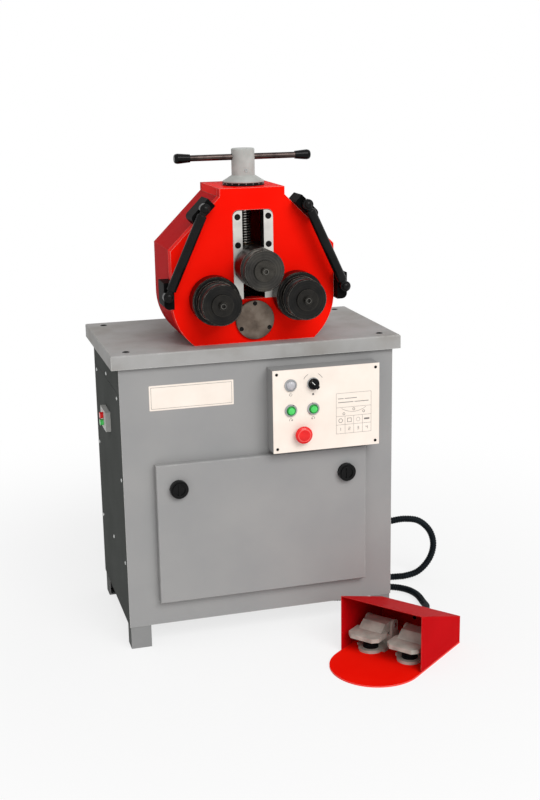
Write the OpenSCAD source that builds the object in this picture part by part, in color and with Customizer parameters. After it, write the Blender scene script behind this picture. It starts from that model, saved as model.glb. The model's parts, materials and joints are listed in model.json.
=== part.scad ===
// Angle roll bender: three overhung forming rolls on a hollow head, a sheet cabinet and a twin foot switch.
// Millimetres. Origin on the floor under the middle of the cabinet, +X right, +Y to the back, +Z up.

/* [Cabinet] */
// Width over the side panels
cab_width = 647; // [600:1:720]
// Depth over the front sheet and the back panel
cab_depth = 375; // [350:1:420]
// Height of the panels' lower edge above the floor
leg_height = 55; // [45:1:70]
// Height of the table's upper face above the floor
table_height = 705; // [690:1:760]
// Thickness of the cabinet's sheets
sheet = 2; // [1.5:0.5:3]
// Width of a leg angle along the front
leg_width = 48; // [40:1:60]
// Depth of a leg angle along the side
leg_depth = 40; // [34:1:50]
// Thickness of a leg angle and its foot plate
leg_wall = 4; // [3:0.5:6]
// Radius of a floor anchor hole
anchor_r = 6; // [4:0.5:8]
// Height of the strip above the side panels, from the table's lower lip up
header_height = 61; // [45:1:80]
// Gap between neighbouring sheets of the cabinet
seam = 1; // [0.6:0.1:2]

/* [Table] */
// How far the table stands out past the cabinet's sides
table_over_x = 16.5; // [12:0.5:30]
// How far the table stands out past the cabinet's front and back
table_over_y = 10.5; // [8:0.5:25]
// Thickness of the table plate
table_plate = 6; // [5:0.5:10]
// Height of the table's folded lip, plate included
table_lip = 32; // [24:1:45]
// Radius of a table hole
table_hole_r = 7; // [4:0.5:9]
// Distance of a table hole from the table's left or right edge
table_hole_in_x = 40; // [32:1:55]
// Distance of a table hole from the table's front or back edge
table_hole_in_y = 36; // [32:1:50]

/* [Hatch] */
// Width of the lift-off hatch
hatch_width = 503; // [460:1:540]
// Height of the hatch
hatch_height = 334; // [280:1:350]
// How far the hatch's face stands in front of the cabinet
hatch_proud = 20; // [18:0.5:26]
// How far the hatch laps over its opening at the sides and the top
hatch_lap = 16; // [13:0.5:20]
// How far the hatch laps over its opening at the bottom, where its pins are
hatch_lap_low = 27; // [25:0.5:36]
// Radius of a locating pin
locate_r = 4; // [3:0.5:5]
// Distance of a locating pin from the hatch's middle
locate_x = 180; // [120:1:200]
// Radius of a latch knob
latch_r = 21; // [16:0.5:26]
// Distance of a latch inside the hatch's left or right edge
latch_in = 50.5; // [46:0.5:60]
// Distance of a latch below the hatch's upper edge
latch_down = 58; // [45:1:80]
// Radius of a latch's shaft
latch_shaft_r = 5; // [4:0.5:7]
// How far a closed latch's tongue reaches behind the edge of the opening
tongue_lap = 10; // [6:0.5:11]

/* [Controls] */
// Width of the control box
box_width = 256; // [240:1:280]
// Height of the control box
box_height = 194; // [180:1:210]
// How far the control box stands in front of the cabinet
box_proud = 48; // [24:1:60]
// Left edge of the control box from the cabinet's middle
box_left = 17; // [10:1:35]
// Distance of the control box below the table's upper face
box_down = 53; // [45:1:65]
// Thickness of the cream control plate
plate_t = 2; // [1:0.5:3]
// Distance of the left controls from the box's left edge
control_in = 42; // [34:0.5:50]
// Distance between the two columns of controls
control_pitch = 53.5; // [44:0.5:60]
// Distance of the lamp and the selector below the box's top
upper_down = 36; // [30:0.5:44]
// Distance of the start buttons below the box's top
start_down = 95; // [85:0.5:105]
// Distance of the emergency stop below the box's top
stop_down = 152; // [140:0.5:160]
// Radius of a button's bezel
bezel_r = 14.5; // [13:0.5:16]
// Radius of a button's cap
cap_r = 10; // [8:0.5:11]
// Travel of a push button
button_travel = 4; // [3:0.5:5]
// Radius of the emergency stop's mushroom
stop_r = 20; // [17:0.5:22]

/* [Head] */
// Half width of the head at its sides
head_half = 190; // [184:1:215]
// Half width of the head's flat top
head_top_half = 75; // [66:1:82]
// Height of the head above the table
head_height = 350; // [340:1:390]
// Height of the upright edge at the head's top corner
head_corner = 18; // [10:1:26]
// Radius of the head's lower corners
head_round = 133; // [120:1:140]
// Distance of the head's front face behind the table's front edge
head_setback = 43; // [34:1:60]
// Thickness of the head's front plate
head_front_t = 28; // [24:1:34]
// Depth of the head's inside
head_room = 147; // [140:1:170]
// Thickness of the head's rear plate
head_rear_t = 15; // [12:1:22]
// Thickness of the head's side walls
head_wall = 12; // [8:1:14]
// Thickness of the head's top wall
head_top_t = 30; // [24:1:36]
// Half width of the slot between the guide rails
slot_half = 25; // [24.5:0.5:27]
// Width of a guide rail
rail_width = 21.5; // [20:0.5:26]

/* [Rolls and drive] */
// Radius of a forming roll
roll_r = 46; // [40:0.5:47]
// Length of a forming roll
roll_len = 86; // [76:1:96]
// Radius of the tube that the groove takes
groove_r = 13; // [8:0.5:17]
// Distance of the groove's middle behind the roll's front face
groove_in = 21; // [19:0.5:26]
// Radius of a lower roll's rear flange
rear_r = 55; // [48:0.5:57]
// Length of a lower roll's rear flange
rear_len = 36; // [24:1:40]
// Radius of a roll shaft
shaft_r = 15; // [13:0.5:16]
// Distance of each lower roll from the middle
roll_x = 97; // [96:0.5:102]
// Height of the upper roll above the lower rolls
roll_rise = 70; // [66:1:80]
// Height of the lower rolls above the table
roll_height = 106; // [104:1:112]
// Module of the gears
gear_module = 3; // [3:0.05:3.1]
// Teeth of the drive gear
drive_teeth = 28; // [26:1:28]
// Teeth of a roll gear
roll_teeth = 46; // [46:1:48]
// Width of the gears
gear_width = 24; // [18:1:28]
// Play between meshing teeth
backlash = 0.4; // [0.3:0.05:0.8]
// Radius of the drive shaft
drive_r = 12.5; // [10:0.5:14]
// Radius of the round bearing cover
cover_r = 45; // [40:0.5:48]
// Lowest travel of the upper roll from rest
travel_down = 30; // [10:1:30]
// Highest travel of the upper roll from rest
travel_up = 70; // [40:1:70]

/* [Handle] */
// Distance of the lead screw behind the head's front face
screw_back = 76; // [74:1:80]
// Radius of the lead screw
screw_r = 15; // [12:0.5:15.5]
// Radius of the handle hub
hub_r = 26.5; // [22:0.5:32]
// Height of the hub above the head
hub_height = 82; // [74:1:100]
// Radius of the dial ring
dial_r = 47.5; // [40:0.5:56]
// Thickness of the dial ring
dial_t = 7; // [5:0.5:10]
// Radius of the handle bar
bar_r = 7; // [5:0.5:9]
// Length of the handle bar over its grips
bar_len = 318; // [260:1:380]
// Length of a grip
grip_len = 36; // [28:1:50]
// Largest radius of a grip
grip_r = 11.5; // [9:0.5:15]

/* [Guide bars] */
// Radius of a guide bar
guide_r = 7.4; // [5:0.1:10]
// Radius of a guide bar's eye
eye_r = 12; // [11:0.5:15]
// Thickness of a guide bar's eye
eye_t = 15; // [15:0.5:20]
// Length of a bracket along the head
bracket_len = 60; // [46:1:64]
// How far a bracket stands off the head
bracket_off = 23; // [18:0.5:28]
// Depth of a bracket
bracket_depth = 62; // [55:1:80]
// How far an upper bracket's middle lies below its eye, along the shoulder
bracket_slip = 8; // [0:1:12]

/* [Foot switch] */
// Width of the guard
guard_width = 210; // [205:1:230]
// Depth of the guard
guard_depth = 189; // [175:1:200]
// Height of the guard at its open front
guard_front = 138; // [120:1:150]
// Height of the guard at its back
guard_back = 68; // [62:1:90]
// Thickness of the guard's sheet
guard_sheet = 2; // [1.5:0.5:3]
// Reach of the round apron in front of the guard
apron_reach = 125; // [120:1:150]
// Distance of each pedal from the guard's middle
pedal_side = 51; // [46:1:56]
// Width of a pedal's tread
tread_width = 80; // [50:1:88]
// Radius of a pedal's round foot
foot_r = 29; // [24:0.5:32]

/* [Hose] */
// Outer radius of the ribbed hose
hose_r = 7.5; // [7:0.1:8]
// Radius of the hose's bore
hose_bore = 5; // [4:0.1:5.4]
// Depth of the grooves between the ribs
rib_depth = 1.1; // [0.6:0.1:1.4]
// Ribs along the hose
rib_count = 190; // [60:1:200]

/* [Hidden] */
$fn = 64;

// Clearances: a seat that stays, a running fit, and the room between parts that pass each other
seat = 0.03;
running = 0.05;
pass = 0.3;
eps = 0.5;

cab_front = -cab_depth / 2;
cab_back = cab_depth / 2;
cab_side = cab_width / 2;
table_w = cab_width + 2 * table_over_x;
table_d = cab_depth + 2 * table_over_y;
table_under = table_height - table_plate;
header_low = table_height - table_lip - header_height;
edge_cut = 2;

// Control box and hatch, measured down from the table
box_top = table_height - box_down;
box_low = box_top - box_height;
box_face = cab_front - box_proud;
hatch_gap = 10.6;
hatch_top = box_low - hatch_gap;
hatch_low = hatch_top - hatch_height;
hatch_half = hatch_width / 2;
hatch_face = cab_front - hatch_proud;
hatch_rear = cab_front - pass;
locate_z = hatch_low + hatch_lap_low / 2;
latch_x = hatch_half - latch_in;
latch_z = hatch_top - latch_down;
latch_boss_r = latch_shaft_r + 7;
knob_t = 11;

// Head and rolls: fy is the front face, and heights count from the table
fy = -table_d / 2 + head_setback;
inside_front = fy + head_front_t;
inside_back = inside_front + head_room;
head_back = inside_back + head_rear_t;
shoulder = head_top_half + head_height - head_corner;
round_cx = head_half - head_round;
round_h = 103;
lower_z = table_height + roll_height;
upper_z = lower_z + roll_rise;
mesh = gear_module * (drive_teeth + roll_teeth) / 2;
drive_z = lower_z - sqrt(mesh * mesh - roll_x * roll_x);
cover_t = 6;
flange_t = 3;
collar_gap = pass;
collar_t = 1.7;
roll_back = fy - flange_t - collar_gap - collar_t;
roll_front = roll_back - roll_len;
roll_edge = 2;
bush_wall = 5;
washer_r = 24;
washer_t = 5;
bolt_r = 9;
bolt_t = 8;
socket_r = 5;
socket_deep = 5;
gear_room = 36;
gear_hub = 8;
gear_back = inside_back - gear_room;
gear_front = gear_back - gear_width;

// Carriage: a block that rides behind the rails, with a neck between them
block_half = slot_half + rail_width - 4;
block_low = upper_z - 40;
block_height = 80;
screw_y = fy + screw_back;
nut_r = screw_r + 7;
block_back = screw_y + nut_r + 7;
slot_low = block_low - travel_down - 5;
slot_top = block_low + block_height + travel_up + 15;
rail_proud = 1;
rail_round = 14;
neck_front = fy - rail_proud;
bush_rear = screw_y - nut_r - 4;

// Handle
head_z = table_height + head_height;
dial_low = head_z + pass;
dial_top = dial_low + dial_t;
cone_t = 15;
hub_top = head_z + hub_height;
bar_z = hub_top - 19;
screw_low = block_low - travel_down + 42;
screw_top = bar_z - bar_r - 5;
collar_low = head_z - head_top_t - pass - 14;

// Guide bars: the eyes' middles, across and above the table
eye_front = fy - 27;
upper_eye_along = 45;
lower_eye_h = 122;
eye_off = 15;
diag = sqrt(2) / 2;
upper_eye_x = head_top_half + upper_eye_along * diag + eye_off * diag;
upper_eye_z = head_z - head_corner - upper_eye_along * diag + eye_off * diag;
lower_eye_x = head_half + eye_off;
lower_eye_z = table_height + lower_eye_h;

// Drive behind the head
drum_r = 46;
reducer_front = head_back + 6;
reducer_len = 88;
reducer_back = reducer_front + reducer_len;
worm_x = 46;
worm_y = reducer_front + reducer_len / 2;
worm_r = 30;
worm_tall = 98;
spigot_r = 34;
motor_r = 58;
motor_len = 210;

// Main switch on the left side
main_down = 192;
main_z = table_height - main_down;
main_deep = 75;
main_tall = 47;
main_proud = 12;
main_gap = 17;
main_cap_r = 7.5;
main_cap_out = 8;

// Foot switch, turned to face the operator's left
foot_x = 206;
foot_y = -427.5;
foot_turn = -51;
floor_t = 3;
apron_r = guard_width / 2;
foot_v = 44;
foot_t = 7;
hinge_v = 92;
hinge_h = 52;
tread_t = 10;
tread_front = 0;
tread_low = hinge_h - 12;
tread_room = 9.5;
barrel_r = 13;
ear_in = 30;
ear_t = 7;
pin_r = 5;
gland_h = 35;
gland_side = -15;

// Hose: route points chosen along the floor, by hand, from the side panel to the foot switch
gland_len = 20;
hose_points = [[344, 0, 165], [366, 0, 165], [400, 0, 170], [436, 0, 171], [475, 0, 161], [506, 0, 130],
  [517, 0, 90], [506, 1, 50], [476, 3, 19], [436, 6, 9], [396, 12, 8], [358, 24, 8], [320, 43, 8],
  [282, 63, 8], [241, 74, 8], [203, 64, 8], [175, 37, 8], [165, 0, 8], [175, -37, 8], [203, -64, 8],
  [241, -74, 8], [279, -67, 8], [314, -52, 8], [350, -45, 8], [386, -55, 8], [412, -80, 8],
  [423, -114, 8], [422, -150, 8], [416, -182, 13], [409, -210, 20], [398, -237, 28], [382, -263, 34],
  [359, -284, 35]];

module box(low, high) {
  translate(low) cube(high - low);
}

// An outline drawn across X and up Z, drawn out from y0 back to y1
module deep(y0, y1) {
  translate([0, y1, 0]) rotate([90, 0, 0]) linear_extrude(y1 - y0) children();
}

// A round bar along Y
module along_y(r, y0, y1, x = 0, z = 0) {
  translate([x, y1, z]) rotate([90, 0, 0]) cylinder(r = r, h = y1 - y0);
}

// A round bar along X
module along_x(r, x0, x1, y = 0, z = 0) {
  translate([x0, y, z]) rotate([0, 90, 0]) cylinder(r = r, h = x1 - x0);
}

module both_sides() {
  children();
  mirror([1, 0, 0]) children();
}

module four_corners() {
  both_sides() {
    children();
    mirror([0, 1, 0]) children();
  }
}

// CABINET

anchor_x = cab_side - sheet - leg_width / 2;
anchor_y = cab_back - sheet - leg_depth / 2;

// Angle legs with a foot plate, inside the corners of the sheets
module legs() {
  top = leg_height + leg_width;
  color("DimGray") four_corners() difference() {
    union() {
      box([cab_side - sheet - leg_width, cab_back - sheet - leg_wall, 0],
        [cab_side - sheet, cab_back - sheet, top]);
      box([cab_side - sheet - leg_wall, cab_back - sheet - leg_depth, 0],
        [cab_side - sheet, cab_back - sheet, top]);
      box([cab_side - sheet - leg_width, cab_back - sheet - leg_depth, 0],
        [cab_side - sheet, cab_back - sheet, leg_wall]);
    }
    translate([anchor_x, anchor_y, -eps]) cylinder(r = anchor_r, h = leg_wall + 2 * eps);
  }
}

module cabinet_floor() {
  inset = sheet + leg_wall;
  color("DarkGray") difference() {
    box([-cab_side + sheet, cab_front + sheet, leg_height],
      [cab_side - sheet, cab_back - sheet, leg_height + sheet]);
    four_corners() translate([cab_side - inset - leg_width, cab_back - inset - leg_depth, leg_height - eps])
      cube([leg_width + inset, leg_depth + inset, sheet + 2 * eps]);
  }
}

// Front sheet with the hatch's opening, two holes for its pins and holes behind the controls
module front_sheet() {
  back = cab_front + sheet + eps;
  color("DarkGray") difference() {
    box([-cab_side, cab_front, leg_height], [cab_side, cab_front + sheet, table_under]);
    box([-hatch_half + hatch_lap, cab_front - eps, hatch_low + hatch_lap_low],
      [hatch_half - hatch_lap, back, hatch_top - hatch_lap]);
    both_sides() along_y(locate_r + pass, cab_front - eps, back, locate_x, locate_z);
    for (p = control_spots) along_y(cap_r + 3, cab_front - eps, back, p[0], p[1]);
  }
}

module side_sheet(low, high) {
  box([cab_side - sheet, cab_front + sheet + seam, low], [cab_side, cab_back - sheet - seam, high]);
}

module left_panel() {
  color("DarkGray") mirror([1, 0, 0]) side_sheet(leg_height, header_low - seam);
}

module right_panel() {
  color("DarkGray") difference() {
    side_sheet(leg_height, header_low - seam);
    along_x(hose_r + 1, cab_side - sheet - eps, cab_side + eps, hose_points[0][1], hose_points[0][2]);
  }
}

module side_headers() {
  color("DarkGray") both_sides() side_sheet(header_low, table_under);
}

module back_panel() {
  color("DarkGray") box([-cab_side, cab_back - sheet, leg_height], [cab_side, cab_back, table_under]);
}

hole_x = table_w / 2 - table_hole_in_x;
hole_y = table_d / 2 - table_hole_in_y;

// A bar of square section on its corner, along X, that takes the sharp edge off a sheet
module edge_x(length) {
  rotate([45, 0, 0]) cube([length + 2 * eps, edge_cut / diag, edge_cut / diag], center = true);
}

// Folded table: a plate with a lip all round, four holes and a hole for the motor's spigot
module table_top() {
  lip_wall = 5;
  through = table_plate + 2 * eps;
  color("Silver") difference() {
    box([-table_w / 2, -table_d / 2, table_height - table_lip], [table_w / 2, table_d / 2, table_height]);
    box([-table_w / 2 + lip_wall, -table_d / 2 + lip_wall, table_height - table_lip - eps],
      [table_w / 2 - lip_wall, table_d / 2 - lip_wall, table_under]);
    four_corners() translate([hole_x, hole_y, table_under - eps]) cylinder(r = table_hole_r, h = through);
    translate([worm_x, worm_y, table_under - eps]) cylinder(r = spigot_r, h = through);
    for (s = [-1, 1]) {
      translate([0, s * table_d / 2, table_height]) edge_x(table_w);
      translate([s * table_w / 2, 0, table_height]) rotate(90) edge_x(table_d);
    }
  }
}

// HATCH

// Pressed tray that hangs on two pins below and two latches above, and draws off to the front
module front_hatch() {
  boss_t = 12;
  tab_half = 9;
  color("DarkGray") difference() {
    union() {
      difference() {
        box([-hatch_half, hatch_face, hatch_low], [hatch_half, hatch_rear, hatch_top]);
        box([-hatch_half + sheet, hatch_face + sheet, hatch_low + sheet],
          [hatch_half - sheet, hatch_rear + eps, hatch_top - sheet]);
      }
      both_sides() {
        box([locate_x - tab_half, hatch_rear - sheet, hatch_low],
          [locate_x + tab_half, hatch_rear, locate_z + tab_half]);
        along_y(locate_r, hatch_rear - sheet, cab_front + sheet + 7, locate_x, locate_z);
        along_y(latch_boss_r, hatch_face + eps, hatch_face + boss_t, latch_x, latch_z);
      }
    }
    both_sides()
      along_y(latch_shaft_r + running, hatch_face - eps, hatch_face + boss_t + eps, latch_x, latch_z);
    for (z = [hatch_low, hatch_top]) translate([0, hatch_face, z]) edge_x(hatch_width);
    for (s = [-1, 1]) translate([s * hatch_half, hatch_face, hatch_low + hatch_height / 2]) rotate([0, 90, 0])
      edge_x(hatch_height);
  }
}

// Quarter-turn latch: a knob dished round a finger bar, a shaft through the hatch and a tongue, drawn open
module latch(x) {
  tongue_y = cab_front + sheet + 3;
  tongue_t = 4;
  tongue_w = 16;
  tongue_len = latch_in - hatch_lap + tongue_lap;
  ridge = 3;
  knob_face = hatch_face - pass - knob_t;
  rim_r = latch_r - 5;
  dish_r = latch_r - 8;
  finger_w = 5;
  color("Black") translate([x, 0, latch_z]) {
    difference() {
      union() {
        along_y(latch_r, knob_face, hatch_face - pass);
        along_y(rim_r, knob_face - ridge, knob_face + eps);
      }
      along_y(dish_r, knob_face - ridge - eps, knob_face);
    }
    box([-finger_w / 2, knob_face - ridge + eps, -dish_r - eps],
      [finger_w / 2, knob_face + eps, dish_r + eps]);
    along_y(latch_shaft_r, knob_face + eps, tongue_y + tongue_t);
    box([-tongue_w / 2, tongue_y, -tongue_len], [tongue_w / 2, tongue_y + tongue_t, tongue_w / 2]);
  }
}

module latch_left() {
  latch(-latch_x);
}

module latch_right() {
  latch(latch_x);
}

// CONTROLS

lamp_x = box_left + control_in;
select_x = lamp_x + control_pitch;
stop_x = lamp_x + control_pitch / 2;
upper_row = box_top - upper_down;
lower_row = box_top - start_down;
stop_z = box_top - stop_down;
control_spots = [[lamp_x, upper_row], [select_x, upper_row], [lamp_x, lower_row], [select_x, lower_row],
  [stop_x, stop_z]];
pocket_deep = 24;
bezel_t = 4;

module control_box() {
  color("DarkGray") difference() {
    box([box_left, box_face + plate_t, box_low], [box_left + box_width, cab_front, box_top]);
    for (p = control_spots) along_y(cap_r + 1, box_face + plate_t - eps, cab_front + eps, p[0], p[1]);
  }
}

module control_plate() {
  color("Linen") difference() {
    box([box_left, box_face, box_low], [box_left + box_width, box_face + plate_t, box_top]);
    for (p = control_spots) along_y(cap_r + 1, box_face - eps, box_face + plate_t + eps, p[0], p[1]);
  }
}

// Turned bezels, dished towards their caps
module bezel(r) {
  rotate([90, 0, 0]) rotate_extrude() polygon([[cap_r + pass, -plate_t], [cap_r + 1 - seat, -plate_t],
    [cap_r + 1 - seat, 0], [r, 0], [r, bezel_t - 1.5], [r - 1.5, bezel_t], [cap_r + 1.2, bezel_t],
    [cap_r + pass, bezel_t - 1]]);
}

module bezels() {
  color("Gainsboro") for (p = control_spots) translate([p[0], box_face, p[1]]) bezel(bezel_r);
}

// A stem in its bezel that carries a cap in front, sprung from inside the box
module push_stem(out) {
  along_y(cap_r, box_face - out, box_face + pocket_deep - button_travel - 1);
}

module lamp_lens() {
  dome = 4;
  color("White") translate([lamp_x, 0, upper_row]) {
    along_y(cap_r + pass - seat, box_face - bezel_t + 0.5, box_face + pocket_deep);
    translate([0, box_face - bezel_t + 0.5, 0]) rotate([90, 0, 0]) rotate_extrude() intersection() {
      translate([0, dome - (cap_r * cap_r + dome * dome) / (2 * dome)])
        circle(r = (cap_r * cap_r + dome * dome) / (2 * dome), $fn = 128);
      square([cap_r, dome]);
    }
  }
}

// Selector: a round boss with a straight grip across it, turned to the left of upright
module selector_knob() {
  boss_r = cap_r + 3;
  boss_t = 3;
  boss_back = box_face - bezel_t - pass;
  grip_w = 9;
  grip_front = boss_back - boss_t - 10;
  turn = -45;
  color("Black") translate([select_x, 0, upper_row]) {
    push_stem(bezel_t + 1);
    along_y(boss_r, boss_back - boss_t, boss_back);
    rotate([0, turn, 0]) intersection() {
      box([-grip_w / 2, grip_front, -boss_r], [grip_w / 2, boss_back - 1, boss_r]);
      along_y(boss_r - 1, grip_front, boss_back - 1);
    }
  }
}

module start_button(x) {
  color("SeaGreen") translate([x, 0, lower_row]) push_stem(bezel_t + button_travel - 1);
}

module start_left() {
  start_button(lamp_x);
}

module start_right() {
  start_button(select_x);
}

// Emergency stop: a crowned mushroom that stands off its bezel by its travel
module stop_button() {
  rim = 6;
  crown = 5;
  off = bezel_t + button_travel + 1;
  color("Red") translate([stop_x, 0, stop_z]) {
    push_stem(off + eps);
    translate([0, box_face - off, 0]) rotate([90, 0, 0]) rotate_extrude() polygon([[0, 0], [stop_r - 4, 0],
      [stop_r, 2], [stop_r, rim], [stop_r - 1.5, rim + 1.5], [stop_r * 0.7, rim + crown - 1.5],
      [stop_r * 0.4, rim + crown - 0.4], [0, rim + crown]]);
  }
}

// MAIN SWITCH

main_face = -cab_side - main_proud;
main_well = -cab_side - 2;

module main_switch_box() {
  half = main_tall / 2;
  color("LightGray") difference() {
    box([main_face, -main_deep / 2, main_z - half], [-cab_side, main_deep / 2, main_z + half]);
    for (s = [-1, 1]) along_x(main_cap_r + pass, main_face - eps, main_well, 0, main_z + s * main_gap / 2);
  }
}

module main_cap(s) {
  along_x(main_cap_r, main_face - main_cap_out, main_well - button_travel - 1, 0, main_z + s * main_gap / 2);
}

module main_stop() {
  color("Red") main_cap(1);
}

module main_start() {
  color("SeaGreen") main_cap(-1);
}

// HEAD

// The head's outline, drawn in by i: a raised top or none, straight shoulders and round lower corners
module head_outline(i, crown) {
  half = head_half - i;
  line = shoulder - i / diag;
  top = head_height - head_corner;
  peak = crown ? [[-head_top_half, head_height], [head_top_half, head_height]] : [];
  translate([0, table_height]) difference() {
    polygon(concat(peak, [[line - top, top], [half, line - half], [half, 0], [-half, 0], [-half, line - half],
      [top - line, top]]));
    both_sides() translate([round_cx, 0]) difference() {
      translate([0, -eps]) square([head_round + eps, round_h + eps]);
      translate([0, round_h]) circle(r = head_round - i, $fn = 160);
    }
  }
}

// The slot that the rails sit in, round at its upper corners
module rail_slot(half, top, r) {
  difference() {
    translate([-half, slot_low]) square([2 * half, top - slot_low]);
    both_sides() translate([half - r, top - r]) difference() {
      square(r + eps);
      circle(r = r);
    }
  }
}

module head_front() {
  slot = slot_half + rail_width;
  color("Red") difference() {
    deep(fy, inside_front) difference() {
      head_outline(0, true);
      rail_slot(slot, slot_top, rail_round - 1);
    }
    both_sides() along_y(shaft_r + bush_wall + seat, fy - eps, inside_front + eps, roll_x, lower_z);
    along_y(drive_r + bush_wall + seat, fy - eps, inside_front + eps, 0, drive_z);
  }
}

module head_side() {
  deep(inside_front, inside_back) intersection() {
    difference() {
      head_outline(0, false);
      head_outline(head_wall, false);
    }
    translate([head_top_half, table_height]) square([head_half, head_height]);
  }
}

module head_side_right() {
  color("Red") head_side();
}

module head_side_left() {
  color("Red") mirror([1, 0, 0]) head_side();
}

module head_top() {
  color("Red") difference() {
    box([-head_top_half, inside_front, head_z - head_top_t], [head_top_half, inside_back, head_z]);
    translate([0, screw_y, head_z - head_top_t - eps])
      cylinder(r = screw_r + bush_wall + seat, h = head_top_t + 2 * eps);
  }
}

module head_rear() {
  color("Red") difference() {
    deep(inside_back, head_back) head_outline(0, true);
    both_sides() along_y(shaft_r + bush_wall + seat, inside_back - eps, head_back + eps, roll_x, lower_z);
    along_y(drive_r + bush_wall + seat, inside_back - eps, head_back + eps, 0, drive_z);
  }
}

module guide_rails() {
  slot = slot_half + rail_width;
  color("Gainsboro") deep(neck_front, inside_front) difference() {
    rail_slot(slot - seat, slot_top - 1, rail_round);
    translate([-slot_half, slot_low - eps]) square([2 * slot_half, slot_top - slot_low + 2 * eps]);
  }
}

// Turned steel cover over the front end of the drive shaft
module bearing_cover() {
  color("Silver") translate([0, fy, drive_z]) rotate([90, 0, 0]) rotate_extrude()
    polygon([[0, 0], [cover_r, 0], [cover_r, cover_t - 1], [cover_r - 1, cover_t], [0, cover_t]]);
}

// A plain bush on Y, with a flange at its front when the flange is wider than its wall
module bush(r, y0, y1, flange) {
  difference() {
    union() {
      along_y(r + bush_wall, y0, y1);
      if (flange > 0) along_y(r + bush_wall + flange, y0 - flange_t, y0);
    }
    along_y(r + running, y0 - flange_t - eps, y1 + eps);
  }
}

module bushes() {
  color("DarkGoldenrod") {
    both_sides() translate([roll_x, 0, lower_z]) {
      bush(shaft_r, fy, inside_front, 8);
      bush(shaft_r, inside_back, head_back, 0);
    }
    translate([0, 0, drive_z]) {
      bush(drive_r, fy + pass, inside_front, 0);
      bush(drive_r, inside_back, head_back, 0);
    }
    translate([0, screw_y, head_z - head_top_t]) difference() {
      cylinder(r = screw_r + bush_wall, h = head_top_t);
      translate([0, 0, -eps]) cylinder(r = screw_r + running, h = head_top_t + 2 * eps);
    }
  }
}

// CARRIAGE

module slide_block() {
  color("DimGray") difference() {
    union() {
      box([-block_half, inside_front + pass, block_low], [block_half, block_back, block_low + block_height]);
      box([-slot_half + pass / 2, neck_front, block_low],
        [slot_half - pass / 2, inside_front + pass + eps, block_low + block_height]);
    }
    along_y(shaft_r + bush_wall - 1 + seat, neck_front - eps, bush_rear, 0, upper_z);
    translate([0, screw_y, block_low - eps]) cylinder(r = screw_r + 1, h = block_height + 2 * eps);
    translate([0, screw_y, block_low + block_height / 2]) cylinder(r = nut_r + seat, h = block_height);
  }
}

module lead_nut() {
  color("DarkGoldenrod") translate([0, screw_y, block_low + block_height / 2]) difference() {
    cylinder(r = nut_r, h = block_height / 2);
    translate([0, 0, -eps]) cylinder(r = screw_r + running, h = block_height);
  }
}

module carriage_bush() {
  color("DarkGoldenrod") translate([0, 0, upper_z]) difference() {
    along_y(shaft_r + bush_wall - 1, neck_front, bush_rear);
    along_y(shaft_r + running, neck_front - eps, bush_rear + eps);
  }
}

// ROLLS AND DRIVE

// A shaft with a shoulder behind the roll and a washer and socket bolt in front of it
module roll_shaft(collar_front, collar_back, y_end) {
  difference() {
    union() {
      along_y(shaft_r, roll_front, y_end);
      along_y(shaft_r + 6, collar_front, collar_back);
      along_y(washer_r, roll_front - washer_t, roll_front);
      along_y(bolt_r, roll_front - washer_t - bolt_t, roll_front - washer_t + eps);
    }
    translate([0, roll_front - washer_t - bolt_t - eps, 0]) rotate([-90, 0, 0])
      cylinder(r = socket_r, h = socket_deep + eps, $fn = 6);
  }
}

// Forming roll from its rear face forwards: the rear's own points, a plain barrel and a groove near the front
module forming_roll(rear) {
  bore = shaft_r + seat;
  translate([0, roll_back, 0]) rotate([90, 0, 0]) rotate_extrude($fn = 128) difference() {
    polygon(concat([[bore, 0]], rear, [[roll_r, roll_len - roll_edge], [roll_r - roll_edge, roll_len],
      [bore, roll_len]]));
    translate([roll_r, roll_len - groove_in]) circle(r = groove_r);
  }
}

function inv_angle(r, rb) = let (t = sqrt(max(0, (r / rb) * (r / rb) - 1))) t * 180 / PI - atan(t);

// Involute tooth flanks: steps up one side of each tooth and down the other
function tooth(z, steps) = let (
    rp = gear_module * z / 2,
    rb = rp * cos(20),
    ra = rp + gear_module,
    rf = rp - 1.25 * gear_module,
    low = max(rb, rf),
    half = 90 / z - backlash / 4 / rp * 180 / PI + inv_angle(rp, rb),
    rise = [for (i = [0:steps]) low + (ra - low) * i / steps],
    left = [for (r = rise) [r, half - inv_angle(r, rb)]]
  ) concat([[rf, -half + inv_angle(low, rb)]], [for (p = left) [p[0], -p[1]]],
    [for (i = [steps:-1:0]) left[i]], [[rf, half - inv_angle(low, rb)]]);

module gear_outline(z, turn) {
  flank = tooth(z, 4);
  start = gear_module * (z / 2 - 1.25) < gear_module * z / 2 * cos(20) ? 0 : 1;
  polygon([for (k = [0:z - 1]) for (i = [start:len(flank) - 1 - start])
    let (a = flank[i][1] + k * 360 / z + turn) flank[i][0] * [cos(a), sin(a)]]);
}

mesh_angle = atan2(lower_z - drive_z, roll_x);
drive_pitch = 360 / drive_teeth;

// A roll gear's turn: one of its gaps meets the drive tooth that lies off from the line of centres
function roll_turn(to_drive, off) = to_drive - off * drive_teeth / roll_teeth + 180 / roll_teeth;

// A gear along Y on its shaft, with a hub behind
module gear(teeth, turn, shaft, hub_wall) {
  difference() {
    union() {
      deep(gear_front, gear_back) gear_outline(teeth, turn);
      along_y(shaft + hub_wall, gear_back - eps, gear_back + gear_hub);
    }
    along_y(shaft + seat, gear_front - eps, gear_back + gear_hub + eps);
  }
}

module roll_gear(turn) {
  color("SlateGray") gear(roll_teeth, turn, shaft_r, 12);
}

// A lower roll has a wider flange at its rear, which the work leans on
module lower_roll() {
  color("DarkSlateGray") forming_roll([[rear_r - roll_edge, 0], [rear_r, roll_edge],
    [rear_r, rear_len - roll_edge], [rear_r - roll_edge, rear_len], [roll_r, rear_len]]);
}

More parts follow.
